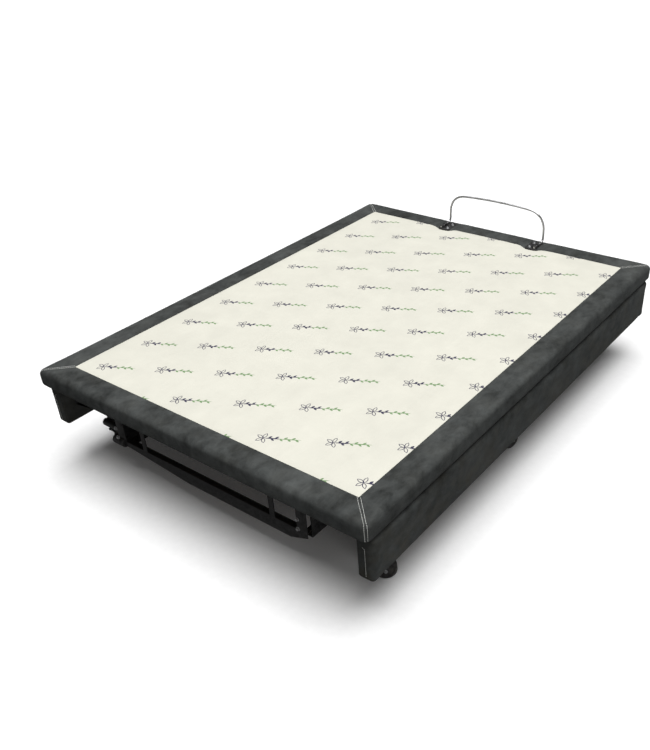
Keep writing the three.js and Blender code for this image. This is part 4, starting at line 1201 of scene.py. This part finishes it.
def powder_coat():
    material, tree, shader = new_finish("black powder coat", Roughness=0.42)
    place = object_place(tree)
    fine = use(tree, grain, place, Size=800.0)
    base = toned(tree, (0.011, 0.011, 0.0115), fine["Tone"])
    rubbed = use(tree, wear, place, Colour=base, Worn=(0.2, 0.2, 0.2, 1), Amount=0.3)
    dusty = use(tree, dust, place, Colour=rubbed["Colour"], Dust=(0.1, 0.095, 0.085, 1), Amount=0.1)
    metallic = times(tree, rubbed["Share"], 0.8)
    roughness = plus(tree, times(tree, dusty["Share"], 0.6), 0.4)
    wired(shader, Base_Color=dusty["Colour"], Metallic=metallic, Roughness=roughness)
    raise_surface(tree, shader, fine["Height"], 0.00018, 0.7)
    return material


def bare_metal(name, colour, along, worn_to, roughness_low=0.26):
    material, tree, shader = new_finish(name, Metallic=1.0)
    place = object_place(tree)
    marks = use(tree, streaks, place, Along=along)
    base = toned(tree, colour, marks["Tone"])
    rubbed = use(tree, wear, place, Colour=base, Worn=worn_to, Amount=0.35)
    roughness = plus(tree, marks["Roughness"], roughness_low - 0.26)
    wired(shader, Base_Color=rubbed["Colour"], Roughness=roughness)
    raise_surface(tree, shader, marks["Height"], 0.00012, 0.5)
    return material


def moulding(name, colour, size, roughness, worn_to, wear_amount=0.25, dust_amount=0.15):
    material, tree, shader = new_finish(name, Roughness=roughness)
    place = object_place(tree)
    fine = use(tree, grain, place, Size=size)
    base = toned(tree, colour, fine["Tone"])
    rubbed = use(tree, wear, place, Colour=base, Worn=worn_to, Amount=wear_amount)
    dusty = use(tree, dust, place, Colour=rubbed["Colour"], Dust=(0.2, 0.19, 0.17, 1), Amount=dust_amount)
    wired(shader, Base_Color=dusty["Colour"])
    raise_surface(tree, shader, fine["Height"], 0.0002, 0.6)
    return material


def plywood_finish():
    material, tree, shader = new_finish("raw plywood", Roughness=0.72)
    place = object_place(tree)
    figure = put(
        tree,
        "TexWave",
        {"Vector": stretched(tree, place, (1, 0.12, 1)), "Scale": 1.6, "Distortion": 16.0, "Detail": 5.0},
        bands_direction="X",
    ).outputs["Fac"]
    pores = noise(tree, stretched(tree, place, (1, 0.03, 1)), 420.0, 3, 0.6)
    layers = put(tree, "TexWave", {"Vector": place, "Scale": 55.0, "Distortion": 0.4}, bands_direction="Z")
    facing_up = split(tree, put(tree, "NewGeometry").outputs["Normal"])["Z"]
    on_edge = ranged(tree, maths(tree, "ABSOLUTE", facing_up), 0.3, 0.6, 1.0, 0.0)
    face = mixed(tree, figure, (0.46, 0.31, 0.17, 1), (0.57, 0.41, 0.25, 1))
    face = mixed(tree, ranged(tree, pores, 0.55, 0.75, 0.0, 0.35), face, (0.22, 0.13, 0.07, 1))
    edge = mixed(tree, layers.outputs["Fac"], (0.27, 0.17, 0.09, 1), (0.62, 0.47, 0.3, 1))
    wired(shader, Base_Color=mixed(tree, on_edge, face, edge))
    raise_surface(tree, shader, pores, 0.0003, 0.6)
    return material


suede = suede_finish("charcoal suede", rest_place)
suede_lining = suede_finish("charcoal lining", object_place)
printed_panel = panel_finish()
thread_finish = thread_material()
black_powder_coat = powder_coat()
zinc_plate = bare_metal("zinc plate", (0.58, 0.59, 0.6), (1, 1, 1), (0.75, 0.75, 0.75, 1), 0.3)
satin_wire = bare_metal("satin wire", (0.5, 0.5, 0.51), (0.2, 0.2, 3), (0.7, 0.7, 0.7, 1), 0.24)
drawn_aluminium = bare_metal("drawn aluminium", (0.66, 0.67, 0.69), (1, 0.02, 1), (0.8, 0.8, 0.8, 1), 0.3)
black_moulding = moulding("black moulding", (0.022, 0.022, 0.024), 650.0, 0.5, (0.12, 0.12, 0.12, 1))
grey_moulding = moulding("grey moulding", (0.33, 0.34, 0.31), 500.0, 0.5, (0.6, 0.6, 0.56, 1), 0.5, 0.35)
moulded_tread = moulding(
    "black tread", (0.018, 0.018, 0.019), 300.0, 0.55, (0.14, 0.13, 0.12, 1), 0.3, 0.5
)
plywood = plywood_finish()


def dress(piece, finish):
    """Gives a piece its finish."""
    piece.data.materials.clear()
    piece.data.materials.append(finish)


def repaint(node, finish):
    """Gives a CAD part that stays on show its finish."""
    mesh = frame["nodes"][node].data
    mesh.materials.clear()
    mesh.materials.append(finish)


# ---- the whole base
def steelwork():
    plates = ["left_retainer_plate", "right_retainer_plate", "left_foot_bracket", "right_foot_bracket"]
    frames = ["head_end_frame", "foot_end_frame", "side_spigot", "leg_lift_frame", "head_lift_arm"]
    beams = [f"{place}_cross_beam" for place in PLACES] + ["head_motor_tube", "leg_motor_tube"]
    channels = ["left_chassis_channel", "right_chassis_channel"]
    for node in plates + frames + beams + channels:
        softened(node, f"{node}_steel", STEEL_EDGE, black_powder_coat, "black_steel")
    softened("spigot_cap", "spigot_end_cap", CAP_EDGE, grey_moulding, "spigot_plastic")


def machinery():
    for node in ("head_actuator", "leg_actuator"):
        softened(node, f"{node}_housing", ACTUATOR_EDGE, black_moulding, "black_plastic")
        softened(f"{node}_rod", f"{node}_ram", CAP_EDGE, drawn_aluminium, "aluminium")
    for node in ("control_box", "power_supply"):
        softened(node, f"{node}_case", CASE_EDGE, black_moulding, "black_plastic")


def woodwork():
    for name in ("head", "seat", "thigh", "foot"):
        softened(f"{name}_board", f"{name}_plywood", WOOD_EDGE, plywood, "plywood")
    for name in ("left", "right", "foot"):
        softened(f"{name}_rail_board", f"{name}_rail_lining", LINING_EDGE, suede_lining, "upholstery")
    for hinge in ("head", "thigh", "knee"):
        for part in ("carrying_leaf", "moving_leaf", "pin"):
            repaint(f"{hinge}_hinge_{part}", zinc_plate)


# ---- floor, light and camera
SKY_STRENGTH = 3.95
ROOM_STRENGTH = 0.07
SIDE_LAMP_SIZE = 1.4
SIDE_LAMP_WATTS = 22


def studio():
    put_down()
    bpy.ops.mesh.primitive_plane_add(size=60, location=(0, 0, 0))
    floor = made_piece("floor")
    material, tree, shader = new_finish(
        "pale floor", Roughness=0.8, Specular_IOR_Level=0.1, Emission_Strength=1.0
    )
    seen = put(tree, "LightPath").outputs["Is Camera Ray"]
    speckle = ranged(tree, noise(tree, object_place(tree), 40.0), 0.3, 0.7, 0.9, 0.93)
    pale = put(tree, "CombineColor", {0: speckle, 1: speckle, 2: speckle}).outputs[0]
    glow = mixed(tree, seen, (0, 0, 0, 1), (0.01, 0.01, 0.01, 1))
    wired(shader, Base_Color=mixed(tree, seen, (0.12, 0.12, 0.12, 1), pale), Emission_Color=glow)
    floor.data.materials.append(material)
    world = bpy.context.scene.world or bpy.data.worlds.new("studio")
    bpy.context.scene.world = world
    world.use_nodes = True
    background = world.node_tree.nodes["Background"]
    shown = put(world.node_tree, "LightPath").outputs["Is Camera Ray"]
    strength = ranged(world.node_tree, shown, 0.0, 1.0, ROOM_STRENGTH, 1.0)
    background.inputs["Color"].default_value = (1, 1, 1, 1)
    world.node_tree.links.new(strength, background.inputs["Strength"])
    sky = bpy.data.lights.new("wide_sky", "SUN")
    sky.angle = math.radians(60)
    sky.energy = SKY_STRENGTH
    sky_lamp = placed("wide_sky", sky)
    sky_lamp.rotation_euler = Vector((0.05, 0.1, 1)).to_track_quat("Z", "Y").to_euler()
    side = bpy.data.lights.new("near_side", "AREA")
    side.size = SIDE_LAMP_SIZE
    side.energy = SIDE_LAMP_WATTS
    lamp = placed("near_side", side)
    lamp.location = (3.6, -2.4, 1.5)
    aim = Vector((0.5, -0.9, 0.2)) - lamp.location
    lamp.rotation_euler = aim.to_track_quat("-Z", "Y").to_euler()
    bpy.context.scene.view_settings.view_transform = "Standard"


def camera():
    data = bpy.data.cameras.new("camera")
    data.lens = 39.2
    data.sensor_width = 36
    data.shift_x = -0.060
    data.shift_y = 0.055
    seen = placed("camera", data)
    right = Vector((0.7966, 0.6029, -0.0434))
    back = Vector((0.5179, -0.6437, 0.5635))
    up = back.cross(right).normalized()
    right = up.cross(back).normalized()
    turn = Matrix((right, up, back.normalized())).transposed().to_4x4()
    seen.matrix_world = Matrix.Translation((1.813, -2.281, 1.891)) @ turn
    bpy.context.scene.camera = seen


camera()
studio()
covers = dress_deck()
rails = dress_rails()
corner_stitching(covers)
rail_stitching(rails)
steelwork()
machinery()
woodwork()
retainer_wire()
castors()
pivot_pins()
bolt = bolt_head(BOLT_SIZE)
rail_bolts(bolt)
retainer_bolts(bolt)
end_frame_bolts(bolt)
spigot_bolts(bolt)
lift_arm_bolts(bolt)
discard(bolt)
